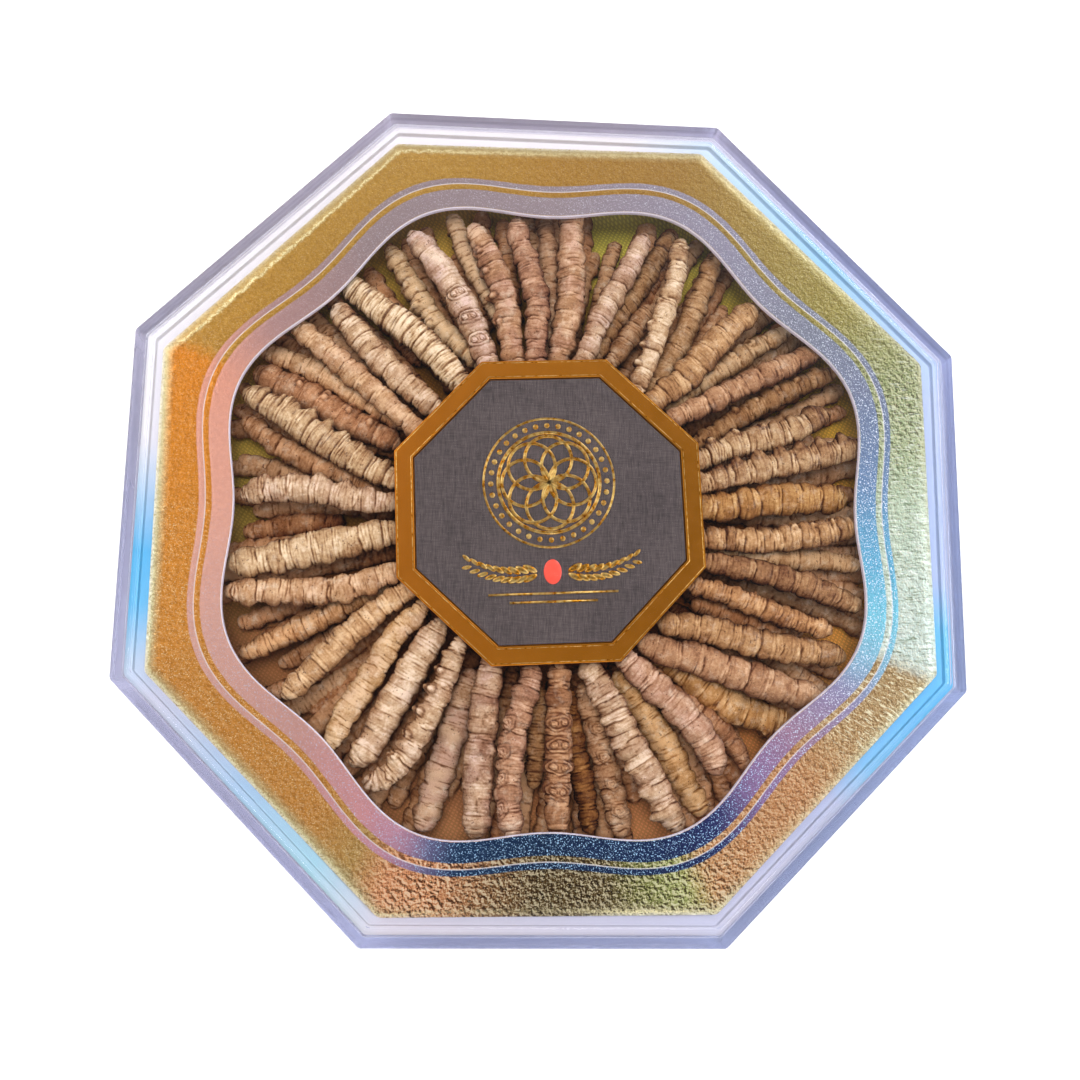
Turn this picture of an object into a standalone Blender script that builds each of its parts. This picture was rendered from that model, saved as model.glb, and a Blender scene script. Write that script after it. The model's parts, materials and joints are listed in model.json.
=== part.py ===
"""Dried cordyceps laid out as the spokes of a wheel in a clear octagonal gift box.

The box lies flat. +X and +Y run across its flats, +Z is up, and the origin is the middle of its underside.
From the bottom up: a clear tray with a foam cushion in it, the lowest specimens, a middle and a top layer
of single specimens, a gold octagonal label plate in the middle with a dark panel let into it, a gold mat
with a wavy window that lies on the tray's ledge, and a clear lid over everything.
"""
from math import atan2, cos, hypot, pi, radians, sin

import bmesh
import bpy
import numpy as np
from mathutils import Vector

MM = 0.001
MERGE = 0.01 * MM
CLEARANCE = 0.3 * MM            # between faces that rest on each other

# Box
FLATS = 8
CORNER = 1 / cos(pi / FLATS)    # distance of an octagon's corner over that of its flat
BOX_FLAT = 100 * MM             # half of the 200 mm across the flats
BOX_HEIGHT = 32 * MM
PANEL_THICKNESS = 2 * MM
LID_WALL = 2.2 * MM
EDGE_CHAMFER = 0.6 * MM
FLANGE_HEIGHT = 6 * MM
FLANGE_THICKNESS = 2 * MM
TRAY_WALL = 2 * MM
TRAY_FLAT = BOX_FLAT - LID_WALL - 0.4 * MM
TRAY_STEP = 3.9 * MM            # the wall steps in by this below the ledge
TRAY_RIM = BOX_HEIGHT - PANEL_THICKNESS - CLEARANCE
LID_UNDERSIDE = BOX_HEIGHT - PANEL_THICKNESS

# Gold mat
MAT_FLAT = 93.35 * MM
MAT_THICKNESS = 1.5 * MM
MAT_TOP = TRAY_RIM
MAT_TURN = radians(0.66)        # it lies a little askew in the tray
MAT_BEVEL = (2.6 * MM, 0.7 * MM)
WINDOW_MEAN = 77.8 * MM
WINDOW_WAVE = 3.0 * MM          # eight waves, deepest towards the corners
WINDOW_POINTS = 64
LEDGE_TOP = MAT_TOP - MAT_THICKNESS - CLEARANCE

# Label
LABEL_CENTRE = (0.11 * MM, 0.56 * MM)
LABEL_TURN = radians(3.08)
LABEL_FLAT = 37.0 * MM
LABEL_TOP = 29.6 * MM
LABEL_THICKNESS = 1.6 * MM
LABEL_CHAMFER = 0.3 * MM
RECESS_FLAT = 32.5 * MM
RECESS_DEPTH = 1.0 * MM
PANEL_DROP = 0.2 * MM           # the dark panel's face lies this far below the gold border

# Cushion
CUSHION_FLAT = TRAY_FLAT - TRAY_STEP - TRAY_WALL - CLEARANCE
CUSHION_FLOOR = 7.8 * MM
CUSHION_RIM = 22 * MM
HUB_FLAT = 30 * MM              # the block in the middle, which carries the label plate
HUB_TOP = LABEL_TOP - LABEL_THICKNESS - CLEARANCE

# Lowest specimens
LOWER_SPOKES = 32
LOWER_INNER = 36 * MM
LOWER_OUTER = 80 * MM
LOWER_TOP = 12.4 * MM
LOWER_RIDGE = 0.6 * MM          # crest over furrow, halved

# Single specimens
EYE = Vector((-18, -48.3, 310.7)) * MM   # where the layout was read from, above the box
READING_HEIGHT = 22.7 * MM      # the level on which the azimuths and distances below were read
READING_TURN = radians(0.3)
TOP_CROWN = 27.4 * MM           # highest point of the top layer
MIDDLE_CROWN = 20.2 * MM
MIDDLE_FOOT = LOWER_TOP + LOWER_RIDGE + CLEARANCE
TOP_INNER = 36.5 * MM           # the top layer runs on under the label plate to here
MIDDLE_INNER = 42 * MM
STATIONS = {"top": 14, "middle": 11}
FINE_STATIONS = 27
GIRTH_SIDES = 6
RIDGE = 0.04                    # a body ring's swell over its mean girth
EASING_SWEEPS = 90
EASING_GAP = 0.42 * MM

# Layer, thickness in mm, colour, and the body's route from its tip inwards as (azimuth in degrees,
# distance from the middle in mm).
SPECIMENS = (
    ("top", 6.1, "pale", ((65, 80), (62, 68), (60.5, 58), (58, 48), (56, 42))),
    ("middle", 5.5, "tan", ((58, 80), (56, 68), (54, 58), (52.5, 48))),
    ("top", 7.3, "tan", ((46, 76), (47, 68), (46.8, 58), (46.5, 48), (48, 43))),
    ("middle", 5.0, "tan", ((38.5, 78), (40, 68), (41, 58), (42, 50))),
    ("top", 6.5, "rosy", ((32.5, 82), (34, 68), (36.8, 48), (38, 43))),
    ("middle", 5.5, "tan", ((28, 82), (28.5, 68), (28.5, 58), (28, 50))),
    ("top", 7.1, "pale", ((21.5, 76), (20, 63), (20.5, 53), (20, 45))),
    ("top", 6.8, "pale", ((13.5, 82), (13.5, 68), (14, 58), (14, 48), (13.5, 41))),
    ("top", 7.8, "golden", ((4.5, 74.5), (4.8, 68), (5.2, 58), (5.2, 48))),
    ("top", 6.5, "tan", ((359.3, 78), (357.5, 70), (356, 63), (354, 53), (352.5, 45))),
    ("middle", 5.0, "tan", ((351.5, 78), (352, 73), (351, 63), (350.2, 53))),
    ("top", 6.8, "pale", ((344.5, 80), (345.8, 68), (346, 58), (346, 48))),
    ("top", 6.0, "tan", ((338, 75), (337.7, 68), (337.5, 58), (337, 48), (336.2, 43))),
    ("middle", 5.0, "brown", ((335, 65), (333, 55), (331, 45))),
    ("top", 7.2, "tan", ((335, 80), (334, 73), (330.3, 63), (327, 53), (322.5, 45))),
    ("top", 8.0, "rosy", ((327, 79), (324.7, 73), (321.8, 63), (317.5, 53), (312, 45))),
    ("middle", 7.6, "golden", ((319.5, 77), (318, 73), (314.2, 63), (312.7, 58), (311, 53))),
    ("middle", 5.0, "rosy", ((308.5, 77), (309.5, 70), (308.5, 60))),
    ("top", 8.0, "rosy", ((304, 74), (305.2, 68), (305, 58), (302.5, 48), (301, 43))),
    ("middle", 6.5, "golden", ((297.7, 80), (297.5, 68), (297.2, 58), (296, 50), (294, 43))),
    ("top", 7.0, "pale", ((293, 81), (292, 68), (290.3, 58), (289.2, 48), (287.5, 43))),
    ("middle", 6.5, "brown", ((283.5, 78), (283.5, 68), (282, 58), (281.5, 53), (280.2, 45))),
    ("middle", 5.0, "golden", ((278, 76), (278.3, 60))),
    ("top", 7.0, "brown", ((272, 76), (272.3, 68), (273, 58), (273.5, 48), (274, 42))),
    ("middle", 5.0, "tan", ((267.5, 65), (267.8, 50))),
    ("top", 6.8, "rosy", ((264.5, 77), (262.5, 68), (261.8, 58), (262.5, 48), (264, 42))),
    ("top", 7.6, "pale", ((258, 78), (256.3, 68), (254.7, 58), (252, 48), (251, 43))),
    ("middle", 6.4, "tan", ((249, 80), (248, 68), (247.3, 58), (245.5, 48), (245, 43))),
    ("top", 6.1, "pale", ((236.5, 76), (238.5, 75), (240.2, 68), (240.2, 58), (239.3, 48), (238, 43))),
    ("top", 8.0, "pale", ((233, 75), (233, 68), (231, 58), (229.2, 48), (228, 43), (226.8, 39))),
    ("top", 6.7, "golden", ((228, 76), (225.5, 68), (223.7, 58), (219.5, 48), (218, 43), (217, 38.5))),
    ("top", 7.1, "tan", ((215.5, 76), (214.5, 68), (212.5, 58), (210.5, 48), (210, 43))),
    ("middle", 5.3, "tan", ((205.7, 80), (205.7, 68), (205.5, 58), (204.8, 50))),
    ("top", 6.6, "tan", ((194.5, 79), (195.5, 73), (198, 63), (200.5, 53), (201, 48), (201.7, 42))),
    ("top", 8.0, "pale", ((189.8, 77), (189.8, 68), (189, 58), (188.3, 48), (187.5, 43), (187, 39))),
    ("top", 6.5, "pale", ((177, 74), (176, 68), (175, 58), (176.2, 48), (176.3, 43))),
    ("middle", 5.5, "brown", ((163.5, 78), (164, 75), (166.2, 68), (168.5, 58), (170.5, 48))),
    ("top", 8.0, "pale", ((158.5, 80), (159.2, 73), (161, 63), (163.8, 53), (165.2, 48), (166.5, 43))),
    ("middle", 7.2, "rosy", ((154.5, 80), (154, 68), (154.5, 58), (155, 48), (155.5, 43))),
    ("middle", 5.5, "pale", ((150.7, 81), (149.8, 73), (149, 68), (148.8, 58), (148.5, 50))),
    ("top", 6.1, "tan", ((143.5, 80), (143.8, 68), (144.5, 58), (145.5, 48), (146.3, 43))),
    ("top", 7.1, "pale", ((136, 74.5), (136.5, 68), (137.5, 58), (137.5, 48), (137.3, 43))),
    ("top", 8.0, "pale", ((131.5, 78), (129.7, 68), (127, 58), (124.8, 48), (124.2, 43))),
    ("middle", 5.5, "tan", ((121, 79), (120.8, 68), (120.5, 58), (119.5, 53), (117.5, 48))),
    ("top", 7.6, "pale", ((116.2, 80), (114.7, 73), (113.7, 68), (112.2, 58), (111.8, 48), (111.5, 43))),
    ("middle", 5.0, "tan", ((108, 81), (108, 73), (107.3, 68), (106.5, 63))),
    ("top", 6.6, "tan", ((105, 77), (103, 68), (101.8, 58), (101.7, 48), (101.5, 43))),
    ("top", 6.5, "rosy", ((96.3, 77), (96.5, 73), (94.7, 63), (92.5, 53), (92.2, 48), (92, 43))),
    ("middle", 5.0, "brown", ((91, 77), (90.4, 68), (90.2, 63))),
    ("top", 8.0, "tan", ((86, 80), (85.5, 68), (84.5, 58), (86, 48), (87, 45))),
    ("top", 6.5, "pale", ((71.7, 77.5), (72.5, 68), (74.5, 58), (76, 53), (77.5, 48), (79, 43))),
    ("middle", 5.5, "tan", ((67, 80), (68.5, 68), (69, 63), (70, 58), (72, 50))),
    ("middle", 5.0, "brown", ((64.5, 60), (66.7, 53), (67.5, 48))),
)

# Colour, metallic, roughness, opacity
FINISHES = {
    "clear": ((0.86, 0.88, 0.92), 0.0, 0.06, 0.3),
    "gold_foil": ((0.80, 0.52, 0.16), 0.9, 0.34, 1.0),
    "label_gold": ((0.72, 0.42, 0.10), 0.9, 0.28, 1.0),
    "label_dark": ((0.11, 0.10, 0.10), 0.2, 0.5, 1.0),
    "satin": ((0.42, 0.30, 0.07), 0.0, 0.45, 1.0),
    "pale": ((0.66, 0.52, 0.36), 0.0, 0.7, 1.0),
    "tan": ((0.54, 0.37, 0.22), 0.0, 0.7, 1.0),
    "rosy": ((0.58, 0.40, 0.28), 0.0, 0.7, 1.0),
    "golden": ((0.60, 0.40, 0.18), 0.0, 0.7, 1.0),
    "brown": ((0.34, 0.19, 0.10), 0.0, 0.7, 1.0),
}


def new_collection(name):
    collection = bpy.data.collections.new(name)
    bpy.context.scene.collection.children.link(collection)
    return collection


def finish(name):
    """The Principled material of that name, made on its first use."""
    material = bpy.data.materials.get(name)
    if material:
        return material
    colour, metallic, roughness, opacity = FINISHES[name]
    material = bpy.data.materials.new(name)
    material.use_nodes = True
    shader = material.node_tree.nodes["Principled BSDF"].inputs
    shader["Base Color"].default_value = (*colour, 1)
    shader["Metallic"].default_value = metallic
    shader["Roughness"].default_value = roughness
    shader["Alpha"].default_value = opacity
    return material


def turned(name, profile, collection, turn=0.0, centre=(0, 0), closed=False):
    """Octagonal body from a profile of (distance of the flat, height), turned in eight steps."""
    edges = [(i, i + 1) for i in range(len(profile) - 1)]
    if closed:
        edges.append((len(profile) - 1, 0))
    mesh = bpy.data.meshes.new(name)
    mesh.from_pydata([(flat * CORNER, 0, height) for flat, height in profile], edges, [])
    body = bpy.data.objects.new(name, mesh)
    collection.objects.link(body)
    body.location = (*centre, 0)
    body.rotation_euler.z = pi / FLATS + turn
    screw = body.modifiers.new("turn", "SCREW")
    screw.axis = "Z"
    screw.angle = 2 * pi
    screw.steps = FLATS
    screw.render_steps = FLATS
    screw.use_merge_vertices = True
    screw.merge_threshold = MERGE
    screw.use_smooth_shade = False
    return body


def prism(name, outline, low, high, collection):
    """Closed mesh of a flat outline, from a filled 2D curve."""
    curve = bpy.data.curves.new(name, "CURVE")
    curve.dimensions = "2D"
    curve.fill_mode = "BOTH"
    curve.extrude = (high - low) / 2
    spline = curve.splines.new("POLY")
    spline.points.add(len(outline) - 1)
    for point, (x, y) in zip(spline.points, outline):
        point.co = (x, y, 0, 1)
    spline.use_cyclic_u = True
    drawn = bpy.data.objects.new(name + "_outline", curve)
    collection.objects.link(drawn)
    evaluated = drawn.evaluated_get(bpy.context.evaluated_depsgraph_get())
    solid = bpy.data.objects.new(name, bpy.data.meshes.new_from_object(evaluated))
    collection.objects.link(solid)
    solid.location.z = (low + high) / 2
    bpy.data.objects.remove(drawn)
    shape = bmesh.new()
    shape.from_mesh(solid.data)
    bmesh.ops.remove_doubles(shape, verts=shape.verts, dist=MERGE)
    shape.to_mesh(solid.data)
    shape.free()
    return solid


def lid(parts):
    """Clear cover whose wall stands on the tray's flange."""
    foot = FLANGE_HEIGHT + CLEARANCE
    inside = BOX_FLAT - LID_WALL
    body = turned("lid", (
        (0, BOX_HEIGHT),
        (BOX_FLAT - EDGE_CHAMFER, BOX_HEIGHT),
        (BOX_FLAT, BOX_HEIGHT - EDGE_CHAMFER),
        (BOX_FLAT, foot),
        (inside, foot),
        (inside, LID_UNDERSIDE),
        (0, LID_UNDERSIDE),
    ), parts)
    body.data.materials.append(finish("clear"))


def base_tray(parts):
    """Clear tray: floor, wall with a ledge for the mat, and a flange with a skirt for the lid."""
    lower_outside = TRAY_FLAT - TRAY_STEP
    lower_inside = lower_outside - TRAY_WALL
    upper_inside = TRAY_FLAT - TRAY_WALL
    skirt_inside = BOX_FLAT - TRAY_WALL
    flange_underside = FLANGE_HEIGHT - FLANGE_THICKNESS
    body = turned("base_tray", (
        (0, PANEL_THICKNESS),
        (lower_inside, PANEL_THICKNESS),
        (lower_inside, LEDGE_TOP),
        (upper_inside, LEDGE_TOP),
        (upper_inside, TRAY_RIM),
        (TRAY_FLAT, TRAY_RIM),
        (TRAY_FLAT, LEDGE_TOP - TRAY_WALL),
        (lower_outside, LEDGE_TOP - TRAY_WALL),
        (lower_outside, FLANGE_HEIGHT),
        (BOX_FLAT, FLANGE_HEIGHT),
        (BOX_FLAT, 0),
        (skirt_inside, 0),
        (skirt_inside, flange_underside),
        (lower_outside, flange_underside),
        (lower_outside, 0),
        (0, 0),
    ), parts)
    body.data.materials.append(finish("clear"))


def window_outline():
    """The mat's window: a circle with a wave towards each corner of the box."""
    outline = []
    for step in range(WINDOW_POINTS):
        azimuth = 2 * pi * step / WINDOW_POINTS
        distance = WINDOW_MEAN - WINDOW_WAVE * cos(FLATS * azimuth)
        outline.append((distance * cos(azimuth + MAT_TURN), distance * sin(azimuth + MAT_TURN)))
    return outline


def gold_mat(parts, cutters):
    """Foil-covered card with a bevelled rim and a wavy window."""
    bevel_width, bevel_depth = MAT_BEVEL
    underside = MAT_TOP - MAT_THICKNESS
    body = turned("gold_mat", (
        (0, MAT_TOP),
        (MAT_FLAT - bevel_width, MAT_TOP),
        (MAT_FLAT, MAT_TOP - bevel_depth),
        (MAT_FLAT, underside),
        (0, underside),
    ), parts, turn=MAT_TURN)
    body.data.materials.append(finish("gold_foil"))
    window = prism("window_cutter", window_outline(), underside - MM, MAT_TOP + MM, cutters)
    window.hide_render = True
    window.display_type = "WIRE"
    cut = body.modifiers.new("window", "BOOLEAN")
    cut.operation = "DIFFERENCE"
    cut.object = window


def label(parts):
    """Gold octagonal plate on the hub, with a dark panel let into it."""
    recess_floor = LABEL_TOP - RECESS_DEPTH
    plate = turned("label_plate", (
        (0, recess_floor),
        (RECESS_FLAT, recess_floor),
        (RECESS_FLAT, LABEL_TOP),
        (LABEL_FLAT - LABEL_CHAMFER, LABEL_TOP),
        (LABEL_FLAT, LABEL_TOP - LABEL_CHAMFER),
        (LABEL_FLAT, LABEL_TOP - LABEL_THICKNESS),
        (0, LABEL_TOP - LABEL_THICKNESS),
    ), parts, LABEL_TURN, LABEL_CENTRE)
    plate.data.materials.append(finish("label_gold"))
    panel_flat = RECESS_FLAT - CLEARANCE
    panel = turned("label_panel", (
        (0, LABEL_TOP - PANEL_DROP),
        (panel_flat, LABEL_TOP - PANEL_DROP),
        (panel_flat, recess_floor + CLEARANCE),
        (0, recess_floor + CLEARANCE),
    ), parts, LABEL_TURN, LABEL_CENTRE)
    panel.data.materials.append(finish("label_dark"))


def cushion(parts):
    """Fabric-covered foam: a shallow dish with a raised rim, and a hub that carries the label."""
    underside = PANEL_THICKNESS + CLEARANCE
    body = turned("cushion", (
        (0, HUB_TOP),
        (HUB_FLAT - 3 * MM, HUB_TOP),
        (HUB_FLAT, HUB_TOP - 1.5 * MM),
        (HUB_FLAT + 0.6 * MM, CUSHION_FLOOR + MM),
        (HUB_FLAT + 4 * MM, CUSHION_FLOOR),
        (CUSHION_FLAT - 9 * MM, CUSHION_FLOOR),
        (CUSHION_FLAT - 6 * MM, CUSHION_FLOOR + 2 * MM),
        (CUSHION_FLAT - 2.7 * MM, CUSHION_RIM - 4 * MM),
        (CUSHION_FLAT - MM, CUSHION_RIM),
        (CUSHION_FLAT, CUSHION_RIM - MM),
        (CUSHION_FLAT, underside),
        (0, underside),
    ), parts)
    body.data.materials.append(finish("satin"))


def lower_layer(parts):
    """The lowest specimens as one ring of spokes, side by side, rounded across and tapered to the tips."""
    foot = CUSHION_FLOOR + CLEARANCE
    profile = (
        (LOWER_INNER, foot),
        (LOWER_INNER + MM, LOWER_TOP - 2 * MM),
        (LOWER_INNER + 5 * MM, LOWER_TOP),
        (LOWER_OUTER - 6 * MM, LOWER_TOP),
        (LOWER_OUTER - MM, LOWER_TOP - 2 * MM),
        (LOWER_OUTER, foot),
    )
    shape = bmesh.new()
    points = [shape.verts.new((distance, 0, height)) for distance, height in profile]
    edges = [shape.edges.new((a, b)) for a, b in zip(points, points[1:] + points[:1])]
    bmesh.ops.spin(shape, geom=points + edges, cent=(0, 0, 0), axis=(0, 0, 1), angle=2 * pi,
                   steps=2 * LOWER_SPOKES, use_merge=True)
    for vert in shape.verts:
        crest = cos(LOWER_SPOKES * atan2(vert.co.y, vert.co.x))
        if vert.co.z > foot + MERGE:
            vert.co.z += LOWER_RIDGE * crest
        if hypot(vert.co.x, vert.co.y) > LOWER_OUTER - 2 * MM:
            vert.co.xy *= 1 + 0.01 * crest
    bmesh.ops.recalc_face_normals(shape, faces=shape.faces)
    mesh = bpy.data.meshes.new("lower_cordyceps")
    shape.to_mesh(mesh)
    shape.free()
    body = bpy.data.objects.new("lower_cordyceps", mesh)
    parts.objects.link(body)
    mesh.materials.append(finish("brown"))


def seen_at(azimuth, distance, height):
    """Point at that height behind a point read on the reading level."""
    turned_azimuth = radians(azimuth) + READING_TURN
    read = Vector((distance * MM * cos(turned_azimuth), distance * MM * sin(turned_azimuth), READING_HEIGHT))
    return EYE + (read - EYE) * ((EYE.z - height) / (EYE.z - READING_HEIGHT))


def smooth_route(points, count):
    """Evenly spaced points on a smooth curve through the given ones."""
    given = np.array(points)
    padded = np.vstack([2 * given[0] - given[1], given, 2 * given[-1] - given[-2]])
    dense = []
    for a, b, c, d in zip(padded, padded[1:], padded[2:], padded[3:]):
        for t in np.linspace(0, 1, 20, endpoint=False):
            dense.append(0.5 * (2 * b + (c - a) * t + (2 * a - 5 * b + 4 * c - d) * t ** 2
                                + (3 * b - a - 3 * c + d) * t ** 3))
    dense.append(given[-1])
    dense = np.array(dense)
    run = np.concatenate([[0], np.cumsum(np.linalg.norm(np.diff(dense, axis=0), axis=1))])
    spots = np.linspace(0, run[-1], count)
    return np.stack([np.interp(spots, run, dense[:, axis]) for axis in range(3)], axis=1)


def layout():
    """Routes and radii of all single specimens before they are eased apart."""
    routes, radii, lowest, highest = [], [], [], []
    along = np.linspace(0, 1, FINE_STATIONS)
    # A body is thickest a third of the way in, blunt at its tip and slimmer under the label.
    taper = np.interp(along, (0, 0.04, 0.12, 0.35, 0.7, 0.88, 0.96, 1), (0.45, 0.72, 0.9, 1, 0.97, 0.84, 0.7, 0.45))
    for layer, thickness, _, readings in SPECIMENS:
        radius = thickness / 2 * MM
        crown = TOP_CROWN if layer == "top" else MIDDLE_CROWN
        inner = TOP_INNER if layer == "top" else MIDDLE_INNER
        points = [seen_at(azimuth, distance, crown - radius) for azimuth, distance in readings]
        heading = (points[-1] - points[-2]).normalized()
        reach = hypot(*points[-1].xy) - inner
        if reach > 0:
            points.append(points[-1] + heading * reach)
        routes.append(smooth_route(points, FINE_STATIONS))
        radii.append(radius * taper)
        highest.append(crown)
        lowest.append(MIDDLE_FOOT)
    return np.array(routes), np.array(radii), np.array(lowest)[:, None], np.array(highest)[:, None]


def eased(routes, radii, lowest, highest):
    """Moves the bodies apart until each clears its neighbours, keeping every route smooth."""
    bodies, stations = radii.shape
    own = np.repeat(np.arange(bodies), stations)
    girth = radii.reshape(-1)
    for _ in range(EASING_SWEEPS):
        spots = routes.reshape(-1, 3)
        apart = spots[:, None] - spots[None]
        distance = np.linalg.norm(apart, axis=2) + 1e-9
        overlap = girth[:, None] + girth[None] + EASING_GAP - distance
        overlap[own[:, None] == own[None]] = 0
        overlap = overlap.reshape(-1, bodies, stations)
        nearest = overlap.argmax(axis=2)[..., None]
        deepest = np.clip(np.take_along_axis(overlap, nearest, 2)[..., 0], 0, None)
        away = apart / distance[..., None]
        away = np.take_along_axis(away.reshape(-1, bodies, stations, 3), nearest[..., None], 2)[:, :, 0]
        shift = 0.5 * (deepest[..., None] * away).sum(axis=1).reshape(routes.shape)
        for _ in range(3):
            ends = np.concatenate([shift[:, :1], shift, shift[:, -1:]], axis=1)
            shift = 0.25 * ends[:, :-2] + 0.5 * ends[:, 1:-1] + 0.25 * ends[:, 2:]
        routes = routes + shift
        top = highest - radii.max(axis=1, keepdims=True)
        floor = lowest + radii.max(axis=1, keepdims=True)
        routes[..., 2] = np.clip(routes[..., 2], np.minimum(floor, top), top)
    return routes


def specimen(name, route, radii, count, colour, parts):
    """One dried body: a tube whose rings swell and narrow along its route."""
    along = np.linspace(0, 1, len(route))
    spots = np.concatenate([[0, 0.025], np.linspace(0.1, 0.92, count - 4), [0.975, 1]])
    curve = bpy.data.curves.new(name, "CURVE")
    curve.dimensions = "3D"
    curve.bevel_depth = MM
    curve.bevel_resolution = (GIRTH_SIDES - 4) // 2
    curve.use_fill_caps = True
    spline = curve.splines.new("POLY")
    spline.points.add(count - 1)
    for index, (point, spot) in enumerate(zip(spline.points, spots)):
        swell = 1 - RIDGE + RIDGE * (-1) ** index
        point.co = (*(np.interp(spot, along, route[:, axis]) for axis in range(3)), 1)
        point.radius = np.interp(spot, along, radii) * swell / MM
    body = bpy.data.objects.new(name, curve)
    parts.objects.link(body)
    curve.materials.append(finish(colour))


def build():
    for old in list(bpy.data.objects):
        bpy.data.objects.remove(old)
    parts = new_collection("boxed_cordyceps")
    cutters = new_collection("cutters")
    base_tray(parts)
    cushion(parts)
    lower_layer(parts)
    routes, radii, lowest, highest = layout()
    routes = eased(routes, radii, lowest, highest)
    for number, (layer, _, colour, _) in enumerate(SPECIMENS):
        name = f"cordyceps_{number + 1:02d}"
        specimen(name, routes[number], radii[number], STATIONS[layer], colour, parts)
    label(parts)
    gold_mat(parts, cutters)
    lid(parts)


build()
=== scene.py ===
"""Dried cordyceps in a clear octagonal gift box: the fine shape and the finish of every piece.

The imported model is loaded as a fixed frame. Each operator models one piece, or one group of like pieces,
over its solid: the clear lid and tray, the gold mat, the label, the satin cushion and the dried bodies.
"""

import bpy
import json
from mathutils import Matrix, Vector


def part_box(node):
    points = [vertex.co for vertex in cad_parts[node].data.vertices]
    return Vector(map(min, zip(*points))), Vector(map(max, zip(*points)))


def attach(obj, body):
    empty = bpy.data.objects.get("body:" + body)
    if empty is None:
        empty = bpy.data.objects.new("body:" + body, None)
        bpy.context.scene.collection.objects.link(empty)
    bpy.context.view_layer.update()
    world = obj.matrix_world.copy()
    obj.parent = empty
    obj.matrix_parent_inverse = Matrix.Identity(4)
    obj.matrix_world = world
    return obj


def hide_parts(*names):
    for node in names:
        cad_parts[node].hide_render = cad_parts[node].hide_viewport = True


bl_info = {
    "name": "Boxed Dried Cordyceps",
    "version": (1, 0, 0),
    "blender": (4, 5, 0),
    "location": "3D View > Sidebar > Cordyceps",
    "description": "Models the dried specimens and the clear octagonal box that they lie in",
    "category": "Object",
}

import json
from collections import namedtuple
from functools import cache
from itertools import product
from math import cos, hypot, pi, radians, sin, tan

import bmesh
import bpy
import numpy as np
from bpy.props import FloatProperty, FloatVectorProperty, IntProperty, PointerProperty
from mathutils import Matrix, Vector

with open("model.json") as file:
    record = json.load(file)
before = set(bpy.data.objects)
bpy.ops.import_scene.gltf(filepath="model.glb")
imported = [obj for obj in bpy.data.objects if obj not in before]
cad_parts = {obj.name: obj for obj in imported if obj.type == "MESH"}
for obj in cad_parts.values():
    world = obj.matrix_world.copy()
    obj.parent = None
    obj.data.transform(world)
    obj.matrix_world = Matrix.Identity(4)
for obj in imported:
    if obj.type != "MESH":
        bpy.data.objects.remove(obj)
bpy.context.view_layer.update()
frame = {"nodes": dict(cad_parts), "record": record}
bpy.ops.object.select_all(action="DESELECT")

MM = 0.001
FLATS = 8
CORNER = 1 / cos(pi / FLATS)            # distance of an octagon's corner over that of its flat
MERGE = 0.002 * MM
NOISE_TABLE = 4096                      # length of the table that noise is read from, a power of 2
NOISE_PRIMES = (73856093, 19349663, 83492791)

# Places that the solids give
BOX_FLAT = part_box("lid")[1].x
BOX_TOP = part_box("lid")[1].z
LID_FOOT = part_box("lid")[0].z
TRAY_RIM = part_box("base_tray")[1].z
MAT_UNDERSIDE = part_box("gold_mat")[0].z
MAT_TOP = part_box("gold_mat")[1].z
PLATE_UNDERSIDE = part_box("label_plate")[0].z
PLATE_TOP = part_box("label_plate")[1].z
PANEL_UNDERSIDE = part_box("label_panel")[0].z
PANEL_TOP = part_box("label_panel")[1].z
CUSHION_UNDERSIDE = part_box("cushion")[0].z
CUSHION_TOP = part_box("cushion")[1].z
CUSHION_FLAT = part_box("cushion")[1].x

# Clear plastic
LID_WALL = 2.2 * MM
LID_PANEL = 2 * MM
TRAY_FLAT = BOX_FLAT - LID_WALL - 0.4 * MM
TRAY_WALL = 2 * MM
TRAY_STEP = 3.9 * MM
FLANGE_TOP = 6 * MM
FLANGE_UNDERSIDE = 4 * MM
CLEARANCE = 0.3 * MM
CORNER_SEGMENTS = 5
MOULDED_LINE = (3.7 * MM, 0.25 * MM, 0.35 * MM)     # in from the lid's edge, depth and width
CLEAR, HAZY, CLOUDED = 1.0, 0.7, 0.5    # share of the light that the plastic lets through
WALL_SHADE_LINES = (                         # height, width and strength of the painted grey shade lines in clouded walls
    (8 * MM, 2.2 * MM, 0.5),
    (27 * MM, 1.5 * MM, 0.35),
)

# Gold mat
MAT_FLAT = 93.35 * MM
MAT_TURN = radians(0.66)
MAT_BEVEL = (2.6 * MM, 0.7 * MM)
WINDOW_MEAN = 77.8 * MM
WINDOW_WAVE = 3.0 * MM
CORNER_SHARPNESS = 400                  # power that rounds the mat's corners to about 2 mm
PEARL_BAND = (0.35, 5.1)                # mm out from the window
PEARL_LINE = (6.6, 8.1)

# Skin over the six-sided solids: share of their radius, and mm that the segments stand out on average
GIRTH = {"top": (1.05, 0.40), "middle": (1.14, 0.25)}

# Label
LABEL_CENTRE = (0.11 * MM, 0.56 * MM)
LABEL_TURN = radians(3.08)
LABEL_FLAT = 37.0 * MM
RECESS_FLAT = 32.5 * MM
ROSETTE = (0, 6.5 * MM)                 # its middle
ROSETTE_BORDERS = ((12.3 * MM, 0.9 * MM), (15.8 * MM, 0.6 * MM))    # radius and width
PETAL = 5.7 * MM
BEADS, BEAD, BEAD_RING = 32, 0.68 * MM, 14.05 * MM
LEAF_PAIRS, LEAF_STRETCH = 9, (2.0, 0.8)
RULES = ((-20.3 * MM, 15.5 * MM), (-22.3 * MM, 10.5 * MM))          # place and reach to each side
ACCENT, ACCENT_RADIUS = (0, -15.2 * MM), 2.4 * MM

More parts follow.
